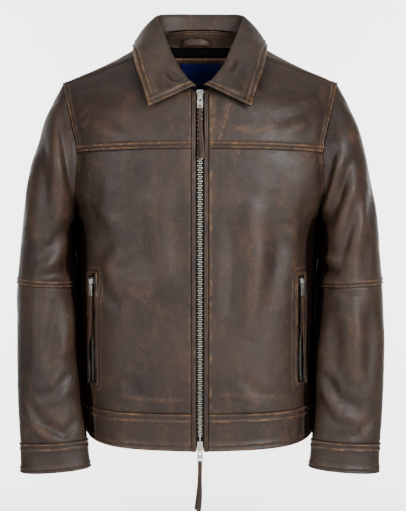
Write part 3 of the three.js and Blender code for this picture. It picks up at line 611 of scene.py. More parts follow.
leather = waxed_leather("waxed_leather", "#211712", "#30231b", "#4c3424", "#86603d")
collar_leather = waxed_leather("collar_leather", "#251a13", "#37291e", "#50392a", "#86603d")
pull_leather = waxed_leather("pull_leather", "#20130d", "#302016", "#4a2f1e", "#724a2c")
lining_satin = woven("lining_satin", "#020203", "#060608", 0.9, 0.7, 0.08)
tape_weave = woven("zip_tape_weave", "#08080a", "#1b1b1e", 1.3, 0.85, 0.2)
label_weave = woven("label_weave", "#040936", "#0a1668", 0.8, 0.6, 0.15)
thread = woven("brown_thread", "#2a1e17", "#55402f", 0.7, 0.7)
nickel = cast_metal("nickel", "#e9e6df", "#97928a", 0.27)
aged_nickel = cast_metal("aged_nickel", "#c9c4b6", "#77705f", 0.32)

# ---- Body panels --------------------------------------------------------------------------------

FOLDS_BODY = [
    # left front
    ("front", -2.6, 11, [(-150, -335), (-176, -370), (-168, -415), (-140, -440), (-118, -425)]),
    ("front", 1.8, 12, [(-128, -352), (-150, -380), (-140, -410)]),
    ("front", -1.6, 10, [(-120, -560), (-104, -592), (-84, -604)]),
    ("front", 2.2, 16, [(-60, -230), (-66, -330), (-58, -430)]),
    ("front", -1.8, 14, [(-100, -210), (-108, -300), (-96, -400)]),
    ("front", 1.4, 12, [(-150, -215), (-160, -280), (-150, -330)]),
    ("front", -2.0, 9, [(-196, -262), (-176, -300), (-150, -322)]),
    # right front
    ("front", 3.0, 17, [(84, -262), (92, -345), (88, -430), (80, -500)]),
    ("front", -2.4, 15, [(126, -250), (132, -350), (120, -450)]),
    ("front", -1.8, 12, [(50, -300), (54, -380), (46, -460)]),
    ("front", 1.6, 12, [(150, -290), (158, -350), (150, -410)]),
    ("front", -1.6, 9, [(188, -262), (168, -296), (140, -318)]),
    ("front", -1.4, 10, [(70, -560), (96, -588), (120, -600)]),
    # yokes
    ("front", -1.5, 10, [(-196, -110), (-150, -135), (-110, -150)]),
    ("front", 1.5, 12, [(-180, -140), (-130, -160)]),
    ("front", -1.8, 10, [(196, -104), (158, -128), (120, -140)]),
    ("front", 1.4, 12, [(180, -135), (140, -155)]),
    # back
    ("back", -3.0, 16, [(-150, -200), (-100, -320), (-112, -470)]),
    ("back", -3.0, 16, [(150, -200), (104, -320), (108, -470)]),
    ("back", 2.6, 18, [(-60, -160), (-48, -330), (-58, -520)]),
    ("back", 2.6, 18, [(62, -180), (50, -340), (64, -520)]),
    ("back", -2.2, 14, [(-186, -300), (-120, -345), (-60, -352)]),
    ("back", -2.2, 14, [(186, -290), (126, -340), (70, -350)]),
    ("back", -2.0, 12, [(-150, -560), (-60, -585), (30, -578)]),
    ("back", 1.6, 12, [(150, -540), (70, -565), (10, -560)]),
]


# Long rub marks beside the zip, each as its strength, width and line.
YOKE_SCRATCHES = [
    (0.75, 1.3, [(49, -110), (42, -134), (32, -168)]),
    (0.35, 1.0, [(44, -112), (36, -140)]),
    (0.4, 3.5, [(24, -100), (22, -135), (23, -172)]),
    (0.35, 5.0, [(56, -148), (92, -152), (120, -146)]),
    (0.3, 1.2, [(-52, -130), (-44, -152)]),
]


def scratches(points, drawn):
    """How far marks drawn as lines of (x, z) on the front are rubbed through, broken along their length."""
    total = np.zeros(points.shape[:-1])
    for strength, width, line in drawn:
        for start, end in zip(line, line[1:]):
            start, leg = np.array(start, float), np.subtract(end, start).astype(float)
            along = np.clip(((points[..., [0, 2]] - start) @ leg) / (leg @ leg), 0, 1)
            away = np.linalg.norm(points[..., [0, 2]] - start - along[..., None] * leg, axis=-1)
            total = np.maximum(total, strength * bump(away, 0, width))
    front = points[..., 1] < -60
    return total * front * np.clip(0.75 + 0.6 * lumps(points, 7, 23), 0, 1)


def columns_even(v, u0, u1, shares):
    """u for each row, so that the columns lie at the same shares of each row's length."""
    fine = np.linspace(0, 1, 120)
    u = u0[:, None] + (u1 - u0)[:, None] * fine
    lengths = run(body_point(u, v[:, None]), 1)
    return np.stack([np.interp(shares * lengths[k, -1], lengths[k], u[k]) for k in range(len(v))])


def arm_fade(points, v):
    """0 on the armhole's edge, so that body and sleeve meet, and 1 away from it."""
    edge = body_point(1.0, np.linspace(V_UNDERARM, V_BACK_UNDERARM, 90))
    flat = points.reshape(-1, 3)
    away = np.full(len(flat), 1e9)
    for p in edge:
        away = np.minimum(away, np.linalg.norm(flat - p, axis=1))
    return ramp(away.reshape(points.shape[:-1]), 2, 26)


def finish_panel(name, base, side, seams, thickness, folds=(), slack=1.0, fade=1.0, relief=0.0,
                 rubbed=0.0, shade=0.0, closed=False, keep=None, skins=None):
    """Lays folds, slack and seam edges on a panel's grid, makes its shell and gives back its placed grid.

    seams says how each edge is sewn: "start" and "end" are the first and last rows, "inner" and "outer" the
    first and last columns. An edge is "tucked", "under" where it goes in under the front strip, or else it
    is lapped and given as the distance of its stitches, the strength of its ridges, and where it is so.
    """
    n = normals(base, closed)
    placed = place(base, side)
    turned = n * ([-1, 1, 1] if side == "left" else [1, 1, 1])
    across, down = run(base, 1), run(base, 0)
    edges = {"inner": across, "outer": across[:, -1:] - across, "start": down, "end": down[-1:] - down}
    height = (strokes(placed, turned, folds) + waviness(placed, slack)) * fade
    rub = 0.12 * ramp(height, 1.0, 4.0)
    for edge, kind in seams.items():
        if kind == "tucked":
            height = height + tucked(edges[edge], placed)
        elif kind == "under":
            height = height - 2.0 * (1 - ramp(edges[edge], UNDER_STRIP - 0.6, UNDER_STRIP + 0.8))
            # Painted shade where the panel goes in under the front strip.
            rub = rub - 0.6 * bump(edges[edge], UNDER_STRIP + 0.4, 1.4)
            pucker = np.clip(0.35 + 1.1 * lumps(placed, 9, 24), 0, 1)
            pucker = pucker * bump(edges[edge], UNDER_STRIP + 3.4, 2.0)
            height = height + 0.5 * pucker
            rub = np.maximum(rub, (0.75 if side == "right" else 0.35) * pucker)
        else:
            row, strength, where = kind
            ridge = lapped(edges[edge], placed, row, strength) * where
            height = height + ridge
            broken = 0.72 + 0.5 * lumps(placed, 34, 8) + 0.5 * lumps(placed, 8, 19)
            rub = np.maximum(rub, ramp(ridge, 0.9, 2.2) * np.clip(broken, 0, 1))
            # Painted shade along the seam: dark at the folded edge and in the stitch groove.
            groove = bump(edges[edge], 0, 1.6) + 0.5 * bump(edges[edge], row, 1.0)
            rub = rub - 0.9 * groove * np.clip(where, 0, 1)
    height = height + relief
    # shade is painted shade beside the sleeves, taken off the rub value.
    rub = np.clip(rub + rubbed - shade, -1, 1)
    final = placed + turned * height[..., None]
    obj = cloth(name, final, thickness, rub, closed, keep, side, skins)
    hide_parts(name)
    return {"points": final, "n": turned, "edges": edges}


UNDER_STRIP = 4.0  # the front panels go this far in under the folded front edge
PANEL_START = FRONT_OPENING + PLACKET + 0.3 - UNDER_STRIP
EDGE_U = 1.0
OVERLAP = 0.5  # each piece runs this far past its seam line, so that no light shows through a seam


def painted_shade_beside_sleeve(base, v):
    """Painted shade on the sides of the body below the arm, where the hanging sleeve keeps the light off
    them: 1 and more, which takes the leather to near black and dull.
    """
    below = np.minimum(ramp(V_UNDERARM - v, 0, 20) + ramp(v - V_BACK_UNDERARM, 0, 20), 1)
    return 2.0 * ramp(np.abs(normals(base)[..., 0]), 0.88, 0.97) * below[:, None]


def body_grid(v_stops, blocks):
    """A grid on the half body from rows v and column blocks of (u at start, u at end, shares)."""
    columns = [columns_even(v_stops, a, b, shares) for a, b, shares in blocks]
    u = np.concatenate([columns[0]] + [c[:, 1:] for c in columns[1:]], axis=1)
    return body_point(u, v_stops[:, None])


def rows_of(v0, v1, step=3.0, ends=(15, 15), fine=1.0):
    return v0 + (v1 - v0) * spaced(abs(v1 - v0), step, fine, ends)


def whole(base):
    """The right half of a piece and its mirror image as one grid, from left to right."""
    return np.concatenate([(base * [-1, 1, 1])[:, :0:-1], base], axis=1)


def path_on(panel, edge, distance):
    """The line of places on a panel at a distance inside one of its edges, and the normals there."""
    d = panel["edges"][edge]
    if edge in ("inner", "outer"):
        j = np.abs(d - distance).mean(axis=0).argmin()
        return panel["points"][:, j], panel["n"][:, j]
    i = np.abs(d - distance).mean(axis=1).argmin()
    return panel["points"][i], panel["n"][i]


panels = {}
seam_rows = {"left": [], "right": [], "back": []}
for side in ("left", "right"):
    # The yoke runs over the shoulder to a seam set a little forward of its ridge.
    v = rows_of(V_YOKE - OVERLAP, V_SHOULDER + OVERLAP)
    base = body_grid(v, [(u_at_x(PANEL_START, v), np.full_like(v, EDGE_U), spaced(255, 3.0))])
    seams = {"start": (STITCH, 1.15, 1.0), "outer": (5.0, 1.0, 1.0), "end": "tucked", "inner": "under"}
    name = "yoke_" + side
    rubbed = scratches(place(base, side), YOKE_SCRATCHES)
    panels[name] = finish_panel(
        name, base, side, seams, LEATHER, FOLDS_BODY, fade=arm_fade(base, v), rubbed=rubbed
    )
    seam_rows[side] += [path_on(panels[name], "start", STITCH), path_on(panels[name], "outer", 5.0)]

    # The lower front has an open slot for its zipped pocket, in a stitched frame.
    slot_z = np.array([SLOT_BOTTOM, SLOT_TOP], float)
    guess = (slot_z - HEM_FRONT) / (UNDERARM - HEM_FRONT) * V_UNDERARM
    slot_v = place_at(POCKET_X, slot_z, np.full(2, 0.7), guess)[1]
    v = np.concatenate([
        rows_of(V_BAND - OVERLAP, slot_v[0], 3.2, (15, 0)),
        rows_of(slot_v[0], slot_v[1], 3.2, (12, 12))[1:],
        rows_of(slot_v[1], V_YOKE + OVERLAP, 3.2, (12, 15))[1:],
    ])
    first, second = u_at_x(POCKET_X - SLOT_WIDTH / 2, v), u_at_x(POCKET_X + SLOT_WIDTH / 2, v)
    blocks = [
        (u_at_x(PANEL_START, v), first, spaced(175, 3.2, ends=(12, 14))),
        (first, second, np.linspace(0, 1, 7)),
        (second, np.full_like(v, EDGE_U), spaced(110, 3.2, ends=(14, 10))),
    ]
    base = body_grid(v, blocks)
    n_first, n_slot = len(blocks[0][2]) - 1, 6
    row_open = (v[:-1] > slot_v[0] - 0.01) & (v[1:] < slot_v[1] + 0.01)
    keep = np.ones((len(v) - 1, base.shape[1] - 1), bool)
    keep[np.ix_(row_open, range(n_first, n_first + n_slot))] = False
    off_x = np.maximum(np.abs(base[..., 0] - POCKET_X) * 1.35 - SLOT_WIDTH * 0.675, 0)
    off_z = np.maximum(np.maximum(base[..., 2] - SLOT_TOP, SLOT_BOTTOM - base[..., 2]), 0)
    off = np.where(base[..., 1] < -10, np.hypot(off_x, off_z), 99)
    placed = place(base, side)
    relief = 1.5 * (1 - ramp(off, 7, 12)) * (1 + 0.25 * lumps(placed, 9, 9)) - 1.0 * bump(off, 8.6, 1.5)
    relief += 0.8 * bump(off, 11.5, 2.2) * (1 + 0.5 * lumps(placed, 8, 10))
    rubbed = 0.3 * bump(off, 5.5, 1.8) + 0.25 * bump(off, 11.5, 2.0) + 0.35 * bump(off, 0.8, 1.2)
    rubbed *= 0.8 + 0.9 * lumps(placed, 16, 11)
    # Painted shade in the groove round the pocket's frame.
    rubbed -= 0.6 * bump(off, 8.6, 1.6)
    # The edge of the pocket's bag shows as a rubbed line above the hem band.
    line_z = -597 + 5 * np.sin(placed[..., 0] / 37)
    inside = ramp(np.abs(placed[..., 0]), 22, 40) * (1 - ramp(np.abs(placed[..., 0]), 120, 150))
    bag = bump(placed[..., 2], line_z, 2.6) * inside * (placed[..., 1] < 0)
    relief += bag * (0.9 if side == "left" else 0.6)
    rubbed += bag * (0.4 if side == "left" else 0.25) * (0.7 + 0.6 * lumps(placed, 20, 12))
    above = ramp(v, V_UNDERARM - 4, V_UNDERARM + 4)[:, None]
    seams = {"start": "tucked", "end": "tucked", "outer": (5.0, 0.9, above), "inner": "under"}
    name = "front_" + side
    panels[name] = finish_panel(
        name, base, side, seams, LEATHER, FOLDS_BODY, fade=arm_fade(base, v), relief=relief, rubbed=rubbed,
        keep=keep, shade=painted_shade_beside_sleeve(base, v),
    )
    arm_path, arm_n = path_on(panels[name], "outer", 5.0)
    over = v > V_UNDERARM
    seam_rows[side].append((arm_path[over], arm_n[over]))

    # The hem band is folded leather, stitched along its top and its bottom edge.
    v = rows_of(V_HEM, V_BAND + OVERLAP, 3.0, (12, 16))
    base = body_grid(v, [(u_at_x(PANEL_START, v), np.full_like(v, EDGE_U), spaced(262, 3.0, ends=(6, 6)))])
    seams = {"start": (7.5, 0.9, 1.0), "end": (9.5, 1.1, 1.0), "inner": "under"}
    name = "hem_band_front_" + side
    panels[name] = finish_panel(
        name, base, side, seams, DOUBLED, slack=0.7, shade=painted_shade_beside_sleeve(base, v)
    )
    seam_rows[side] += [path_on(panels[name], "start", 7.5), path_on(panels[name], "end", 9.5)]

# The back is one piece from the shoulder seams to the hem band.
v = rows_of(V_SHOULDER - OVERLAP, V_BACK_BAND + OVERLAP, 3.6)
base = whole(body_grid(v, [(np.zeros_like(v), np.full_like(v, EDGE_U), spaced(285, 3.6, ends=(0, 14)))]))
above = 1 - ramp(v, V_BACK_UNDERARM - 4, V_BACK_UNDERARM + 4)[:, None]
seams = {"start": (5.0, 0.7, 1.0), "end": "tucked", "inner": (5.0, 0.9, above), "outer": (5.0, 0.9, above)}
fade = arm_fade(np.abs(base) * [1, 0, 0] + base * [0, 1, 1], v)
# Ahead of the nape the two halves part, as the neck opening lies between them.
keep = np.ones((base.shape[0] - 1, base.shape[1] - 1), bool)
keep[v[:-1] < V_NAPE, base.shape[1] // 2 - 1] = False
panels["back"] = finish_panel(
    "back", base, "right", seams, LEATHER, FOLDS_BODY, fade=fade, keep=keep, shade=painted_shade_beside_sleeve(base, v)
)
over = v < V_BACK_UNDERARM
for edge in ("inner", "outer"):
    arm_path, arm_n = path_on(panels["back"], edge, 5.0)
    seam_rows["back"].append((arm_path[over], arm_n[over]))
shoulder_path, shoulder_n = path_on(panels["back"], "start", 5.0)
middle = len(shoulder_path) // 2
away = np.abs(shoulder_path[:, 0]) > 82
for half in (slice(0, middle), slice(middle, None)):
    seam_rows["back"].append((shoulder_path[half][away[half]], shoulder_n[half][away[half]]))

v = rows_of(V_BACK_BAND - OVERLAP, V_BACK_HEM, 3.0, (16, 12))
base = whole(body_grid(v, [(np.zeros_like(v), np.full_like(v, EDGE_U), spaced(262, 3.2, ends=(0, 6)))]))
seams = {"start": (9.5, 1.0, 1.0), "end": (7.5, 0.8, 1.0)}
hem_back = panels["hem_band_back"] = finish_panel(
    "hem_band_back", base, "right", seams, DOUBLED, slack=0.7, shade=painted_shade_beside_sleeve(base, v)
)
seam_rows["back"] += [path_on(hem_back, "start", 9.5), path_on(hem_back, "end", 7.5)]

# ---- Sleeves ------------------------------------------------------------------------------------

FOLDS_SLEEVE = {
    "left": [
        ("front", 3.0, 12, [(-246, -112), (-241, -180), (-232, -250), (-228, -345)]),
        ("front", -3.4, 8, [(-234, -122), (-226, -185), (-217, -252)]),
        ("front", -2.6, 10, [(-270, -150), (-262, -230), (-258, -330)]),
        ("front", 2.0, 12, [(-290, -180), (-292, -260), (-286, -350)]),
        ("front", -2.2, 10, [(-222, -300), (-250, -345), (-290, -368)]),
        ("front", 2.2, 9, [(-218, -330), (-246, -372), (-290, -392)]),
        ("front", -2.0, 8, [(-214, -380), (-240, -395), (-280, -398)]),
        ("front", 2.6, 12, [(-216, -432), (-220, -480), (-232, -540)]),
        ("front", -2.4, 10, [(-246, -436), (-252, -500), (-256, -570)]),
        ("front", 2.0, 12, [(-284, -440), (-282, -520), (-284, -590)]),
        ("front", -2.8, 8, [(-298, -606), (-270, -650), (-232, -668), (-208, -640)]),
        ("front", 2.4, 8, [(-296, -630), (-268, -668), (-236, -680)]),
        ("front", -2.0, 8, [(-220, -560), (-248, -596), (-284, -604)]),
        ("back", -3.0, 12, [(-226, -260), (-262, -310), (-300, -330)]),
        ("back", 2.4, 12, [(-228, -300), (-262, -345), (-300, -360)]),
        ("back", -3.0, 10, [(-222, -360), (-262, -392), (-306, -398)]),
        ("back", 2.8, 10, [(-222, -400), (-262, -426), (-306, -430)]),
        ("back", -2.4, 10, [(-226, -450), (-262, -474), (-300, -476)]),
        ("back", -2.4, 10, [(-220, -600), (-262, -640), (-296, -646)]),
    ],
    "right": [
        ("front", 3.4, 8, [(236, -190), (226, -240), (212, -290), (204, -318)]),
        ("front", -4.0, 7, [(226, -178), (214, -225), (203, -268)]),
        ("front", -4.2, 8, [(256, -196), (242, -240), (226, -280), (212, -312)]),
        ("front", 3.0, 10, [(262, -236), (252, -280), (236, -326)]),
        ("front", -3.6, 9, [(262, -262), (254, -310), (242, -362)]),
        ("front", 3.0, 12, [(272, -250), (268, -310), (260, -356), (256, -430)]),
        ("front", -2.4, 10, [(290, -180), (296, -250), (290, -320)]),
        ("front", 2.2, 12, [(256, -120), (270, -170), (284, -230)]),
        ("front", -3.6, 7, [(196, -372), (212, -388), (236, -394)]),
        ("front", 2.4, 7, [(198, -360), (216, -366), (240, -372)]),
        ("front", 3.0, 12, [(258, -432), (264, -500), (262, -580)]),
        ("front", -3.0, 12, [(222, -432), (228, -510), (226, -590)]),
        ("front", -2.2, 10, [(290, -440), (292, -520), (288, -590)]),
        ("front", -2.6, 8, [(206, -560), (236, -604), (276, -624)]),
        ("front", 2.2, 8, [(204, -590), (236, -634), (280, -650)]),
        ("front", -2.0, 7, [(296, -640), (270, -668), (232, -676)]),
        ("back", -3.0, 12, [(226, -250), (262, -300), (300, -320)]),
        ("back", 2.4, 12, [(228, -290), (262, -335), (300, -352)]),
        ("back", -3.0, 10, [(222, -356), (262, -388), (306, -394)]),
        ("back", 2.8, 10, [(222, -396), (262, -422), (306, -428)]),
        ("back", -2.4, 10, [(226, -460), (262, -482), (300, -486)]),
        ("back", -2.4, 10, [(220, -596), (262, -634), (296, -642)]),
    ],
}


def sleeve_grid(start, end, ends, step=3.0):
    """A closed grid round the sleeve between two places along it."""
    turn = np.linspace(0, 2 * math.pi, 140, endpoint=False)
    along = start + (end - start) * spaced(end - start, step, ends=ends)
    return curve(SLEEVE_KNOTS, ring_points(turn), along)


def painted_shade_beside_body(base):
    """Painted shade, 1 and more, on the side of a sleeve that hangs against the body."""
    return 2.0 * ramp(-normals(base, closed=True)[..., 0], 0.85, 0.97) * ramp(-base[..., 2], 290, 330)


for side in ("left", "right"):
    elbow, cuff_seam, cuff_hem = SLEEVE_KNOTS[[ELBOW_RING, CUFF_RING, HEM_RING]]
    base = sleeve_grid(0.0, elbow + OVERLAP, (10, 15))
    fade = ramp(run(base, 0), 2, 30)
    seams = {"start": "tucked", "end": (STITCH, 1.0, 1.0)}
    name = "sleeve_upper_" + side
    panels[name] = finish_panel(
        name, base, side, seams, LEATHER, FOLDS_SLEEVE[side], 1.5, fade, shade=painted_shade_beside_body(base), closed=True
    )
    seam_rows[side].append(path_on(panels[name], "end", STITCH))

    base = sleeve_grid(elbow - OVERLAP, cuff_seam + OVERLAP, (10, 10))
    seams = {"start": "tucked", "end": "tucked"}
    name = "sleeve_lower_" + side
    panels[name] = finish_panel(
        name, base, side, seams, LEATHER, FOLDS_SLEEVE[side], 1.2, shade=painted_shade_beside_body(base), closed=True
    )

    base = sleeve_grid(cuff_seam - OVERLAP, cuff_hem, (14, 10))
    seams = {"start": (8.0, 1.0, 1.0), "end": (5.0, 0.8, 1.0)}
    name = "cuff_" + side
    panels[name] = finish_panel(name, base, side, seams, DOUBLED, slack=0.7, closed=True)
    seam_rows[side] += [path_on(panels[name], "start", 8.0), path_on(panels[name], "end", 5.0)]

# ---- Collar -------------------------------------------------------------------------------------

FOLDS_COLLAR = [
    ("front", -2.2, 6, [(-54, -50), (-42, -64), (-28, -64)]),
    ("front", 1.8, 6, [(-60, -60), (-46, -76), (-28, -74)]),
    ("front", -1.8, 5, [(60, -30), (54, -40), (44, -52)]),
    ("front", 2.0, 14, [(-86, -50), (-76, -80), (-70, -100)]),
    ("front", 2.0, 14, [(90, -50), (80, -80), (72, -100)]),
]


def collar_grid():
    """The visible face of the collar: inside the stand, over the roll and down the fall."""
    across = np.concatenate([np.linspace(0, 1, 14), 1 + spaced(72, 2.2, 1.0, (6, 14))[1:]])
    along = 7 * spaced(205, 2.6, 1.0, (14, 0))
    a, c = np.meshgrid(along, across)
    hidden = collar_point(a, c)
    for _ in range(14):  # rounds the roll, which is a soft fold
        eased = (hidden[:-2] + 2 * hidden[1:-1] + hidden[2:]) / 4
        near = bump(c[1:-1], 1.04, 0.22)[..., None]
        hidden[1:-1] += (eased - hidden[1:-1]) * near
    out = -normals(hidden)
    out[:, -1] *= [0, 1, 1]
    out /= np.linalg.norm(out, axis=-1, keepdims=True)
    right = hidden + out * COLLAR
    return np.concatenate([right * [-1, 1, 1], right[:, -2::-1]], axis=1)


base = collar_grid()
seams = {"end": (8.0, 1.3, 1.0), "inner": (8.0, 1.3, 1.0), "outer": (8.0, 1.3, 1.0)}
panels["collar"] = finish_panel(
    "collar", base, "right", seams, COLLAR, FOLDS_COLLAR, slack=1.2, skins=[collar_leather, leather]
)

# ---- Front edges and the zip --------------------------------------------------------------------


def front_line(v):
    """Places on the middle line of the front, with its outward and upward directions."""
    p = body_point(0.0, v) * [0, 1, 1]
    up = (body_point(0.0, v + 1) - body_point(0.0, v - 1)) * [0, 1, 1]
    up /= np.linalg.norm(up, axis=-1, keepdims=True)
    return p, np.cross(up, [1, 0, 0]) * -1, up


def front_strip(v, profile):
    """A strip down the front from a profile of (distance from the middle, height above the front)."""
    p, out, _ = front_line(v)
    profile = np.array(profile, float)
    return p[:, None] + profile[None, :, :1] * [1, 0, 0] + out[:, None] * profile[None, :, 1:]


v_zip = np.arange(V_HEM + 2, V_NECK - 1, 2.4)
for side in ("left", "right"):
    # The front edge is folded back beside the zip and stitched, so it stands up as a puckered welt.
    v = np.arange(V_HEM, V_NECK - 0.5, 2.0)
    profile = [(0.1, -2.6), (0.0, -1.2), (0.3, 0.2), (1.2, 1.2), (2.4, 1.6), (3.6, 1.3), (4.6, 0.9)]
    profile += [(5.4, 1.3), (6.5, 1.5), (7.3, 0.8), (PLACKET, -0.6)]
    base = front_strip(v, [(FRONT_OPENING + x, h) for x, h in profile])
    placed = place(base, side)
    uneven = 0.5 * lumps(placed * [0.3, 1, 1], 10, 13) + 0.3 * lumps(placed * [0.3, 1, 1], 24, 14)
    column = np.arange(len(profile))
    outer_wear = 0.5 if side == "right" else 0.2
    crest = 0.22 * bump(column, 4, 1.5) + outer_wear * bump(column, 8, 1.0)
    # Painted shade in the stitch groove and along the strip's outer foot.
    hollow_shade = bump(column, 6, 0.8) + bump(column, 10, 0.8)
    rub = np.clip(crest * (0.6 + 0.9 * lumps(placed, 15, 15)) - 0.7 * hollow_shade, -1, 1)
    final = placed + front_line(v)[1][:, None] * (uneven * ramp(column, 1, 3))[..., None]
    obj = cloth("placket_" + side, final, 1.4, rub, side=side)
    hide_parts("placket_" + side)

    base = front_strip(v_zip, [(x, -2.6) for x in np.linspace(0.15, 13, 8)])
    obj = cloth("zip_tape_" + side, place(base, side), 0.8, side=side, skins=[tape_weave])
    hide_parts("zip_tape_" + side)


TOOTH_SHARE = 0.774  # how much of its pitch a tooth's widths are given in


def teeth(name, line, out, up, aside, pitch, wide, side):
    """A row of cast zip teeth down a line, each with its foot on the tape and its head past the middle.

    The real teeth are about 3 mm apart. They are twice as coarse here, so that each one shows.
    """
    lengths = run(line[:, None], 0)[:, 0]
    at = np.arange(pitch * (0.25 if side == "left" else 0.75), lengths[-1], pitch)
    place_of, out_of, up_of, aside_of = (
        np.stack([np.interp(at, lengths, a[:, k]) for k in range(3)], axis=-1)
        for a in (line, out, up, aside)
    )
    head = -0.7 * wide
    outline = np.array([(wide, 0.15), (1.1, 0.15), (0.4, 0.18), (head + 0.5, 0.18), (head, 0.12)])
    outline = np.concatenate([outline, (outline * [1, -1])[::-1]]) * [1, pitch * TOOTH_SHARE]
    rings = []
    for height, shrink in ((0.0, 1.0), (1.25, 1.0), (1.7, 0.74)):
        middle = outline.mean(axis=0)
        flat = middle + (outline - middle) * shrink
        across = flat[None, :, :1] * aside_of[:, None]
        along = flat[None, :, 1:] * up_of[:, None]
        rings.append(place_of[:, None] + across + along + out_of[:, None] * height)
    verts = np.stack(rings, axis=1)
    count, sides = len(at), len(outline)
    faces = []
    for k in range(count):
        start = k * 3 * sides
        faces += (grid_faces(3, sides, closed=True) + start).tolist()
        faces.append([start + 2 * sides + s for s in range(sides)])
        faces.append([start + s for s in range(sides)][::-1])
    obj = mesh_object(name + "_cast", verts.reshape(-1, 3), faces, aged_nickel)
    obj.data.polygons.foreach_set("use_smooth", np.zeros(len(obj.data.polygons), bool))
    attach(obj, "jacket")
    return obj


v = np.arange(V_HEM + 22, V_NECK - 4, 4.0)
p, out, up = front_line(v)
for side, sign in (("left", -1), ("right", 1)):
    aside = np.broadcast_to([sign, 0, 0], p.shape).astype(float)
    obj = teeth("zip_teeth_" + side, p - out * 2.2, out, up, aside, 7.4, 4.1, side)
    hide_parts("zip_teeth_" + side)

# ---- Zip heads ----------------------------------------------------------------------------------


def pull_rows(node, swing):
    """The centre line of a leather pull's solid, its width direction and its width, from its top down."""
    co = np.array([v.co for v in nodes[node].data.vertices]) * 1000
    co = np.unique(np.round(co, 2), axis=0)
    middle = co.mean(axis=0)
    axis = np.linalg.svd(co - middle)[2][0]
    top = np.array(swing["pos_m"]) * 1000
    if (top - middle) @ axis < 0:
        axis = -axis
    order = np.argsort(-(co - middle) @ axis)
    rows = co[order].reshape(9, 4, 3)
    wide = rows[0][np.argmax(np.linalg.norm(rows[0] - rows[0][0], axis=1))] - rows[0][0]
    hinge = np.array(swing["axis"])
    return rows.mean(axis=1), -hinge / np.linalg.norm(hinge), np.linalg.norm(wide)


HEADS = ("zip_top", "zip_bottom", "pocket_left", "pocket_right")
swing_of = {joint["child"]: joint for joint in frame["joints"]}
for head in HEADS:
    body = head + "_pull"
    node = head + "_leather_pull"
    line, aside, wide = pull_rows(node, swing_of[body])
    knots = np.linspace(0, 1, 9)
    t = np.linspace(0, 1, 46)
    centre = curve(knots, line, t)
    down = np.gradient(centre, axis=0)
    down /= np.linalg.norm(down, axis=1, keepdims=True)
    out = np.cross(aside, down)
    out *= np.sign((out @ np.array([0, -1, 0])).sum())
    for tail, sign in (("front", 1), ("back", -1)):
        long = "zip" in head
        full = (0.5 if long else 0.53) * wide * (1 + 0.05 * np.sin(9 * t + sign))
        half = full * (0.84 + (0.1 if sign > 0 else -0.25) * ramp(t, 0.1, 0.6) if long else 1.0)
        spread = sign * (2.4 if long else 0.8) * ramp(t, 0.15, 0.9)
        length = t if sign > 0 else t * 0.955
        middle_line = np.stack([np.interp(length, t, centre[:, k]) for k in range(3)], axis=-1)
        s = np.linspace(-1, 1, 7)
        dome = 0.25 * (1 - s**4)
        lift = sign * (0.62 + 0.9 * ramp(t, 0.3, 1.0) * (0.5 + 0.5 * sign)) + (0 if long else 1.0)
        sideways = aside * (spread[:, None, None] + half[:, None, None] * s[None, :, None])
        outwards = out[:, None] * (lift[:, None, None] + sign * dome[None, :, None])
        points = middle_line[:, None] + sideways + outwards
        rub = np.clip(0.4 * ramp(np.abs(s), 0.75, 1.0)[None, :] + 0.3 * lumps(points, 9, 16), -0.4, 1)
        points = points if sign > 0 else points[:, ::-1]
        obj = cloth(f"{node}_{tail}", points, 1.1, rub, skins=[pull_leather], body=body)
        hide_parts(node)

def soften(obj, width_mm):
    """The rounded edges that die casting leaves."""
    edge = obj.modifiers.new("edge", "BEVEL")
    edge.width = width_mm * 0.001
    edge.segments = 2
    edge.limit_method = "ANGLE"


for head in HEADS:
    slider = nodes[f"{head}_slider"]
    slider.data.materials.clear()
    slider.data.materials.append(nickel)
    soften(slider, 0.5)

    # The tab is a flat casting with a window in its middle and a slot at its end for the leather.
    node = f"{head}_pull_tab"
    swing = swing_of[head + "_pull"]
    aside = np.array(swing["axis"]) / np.linalg.norm(swing["axis"])
    co = np.array([v.co for v in nodes[node].data.vertices]) * 1000
    middle = co.mean(axis=0)
    flat = co - middle - ((co - middle) @ aside)[:, None] * aside
    down = np.linalg.svd(flat)[2][0]
    if (middle - np.array(swing["pos_m"]) * 1000) @ down < 0:
        down = -down
    out = np.cross(aside, down)
    reach = (co - middle) @ np.array([down, aside, out]).T
    (top, _, low), (end, half_wide, high) = reach.min(axis=0), reach.max(axis=0)
    half_wide *= 1.0 if "zip" in head else 1.25
    s = np.linspace(0, 1, 31)
    c = np.linspace(-1, 1, 11)
    outline = np.interp(s, [0, 0.05, 0.3, 0.42, 0.94, 1], [0.5, 0.66, 0.72, 1, 1, 0.8])
    lengthways = (top + (end - top) * s)[:, None, None] * down
    sideways = aside * (half_wide * outline[:, None] * c)[..., None]
    points = middle + lengthways + sideways + out * high
    keep = np.ones((30, 10), bool)
    keep[9:15, 3:7] = False
    keep[24:27, 2:8] = False
    plate = mesh_object(node + "_cast", points.reshape(-1, 3), grid_faces(31, 11, keep=keep), nickel)
    plate.data.polygons.foreach_set("use_smooth", np.zeros(len(plate.data.polygons), bool))
    wall = plate.modifiers.new("wall", "SOLIDIFY")
    wall.thickness = (high - low) * 0.001
    facing = np.cross(points[0, 1] - points[0, 0], points[1, 0] - points[0, 0]) @ out
    wall.offset = -1 if facing > 0 else 1
    soften(plate, 0.25)
    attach(plate, head + "_pull")
    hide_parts(node)

# ---- Pockets ------------------------------------------------------------------------------------


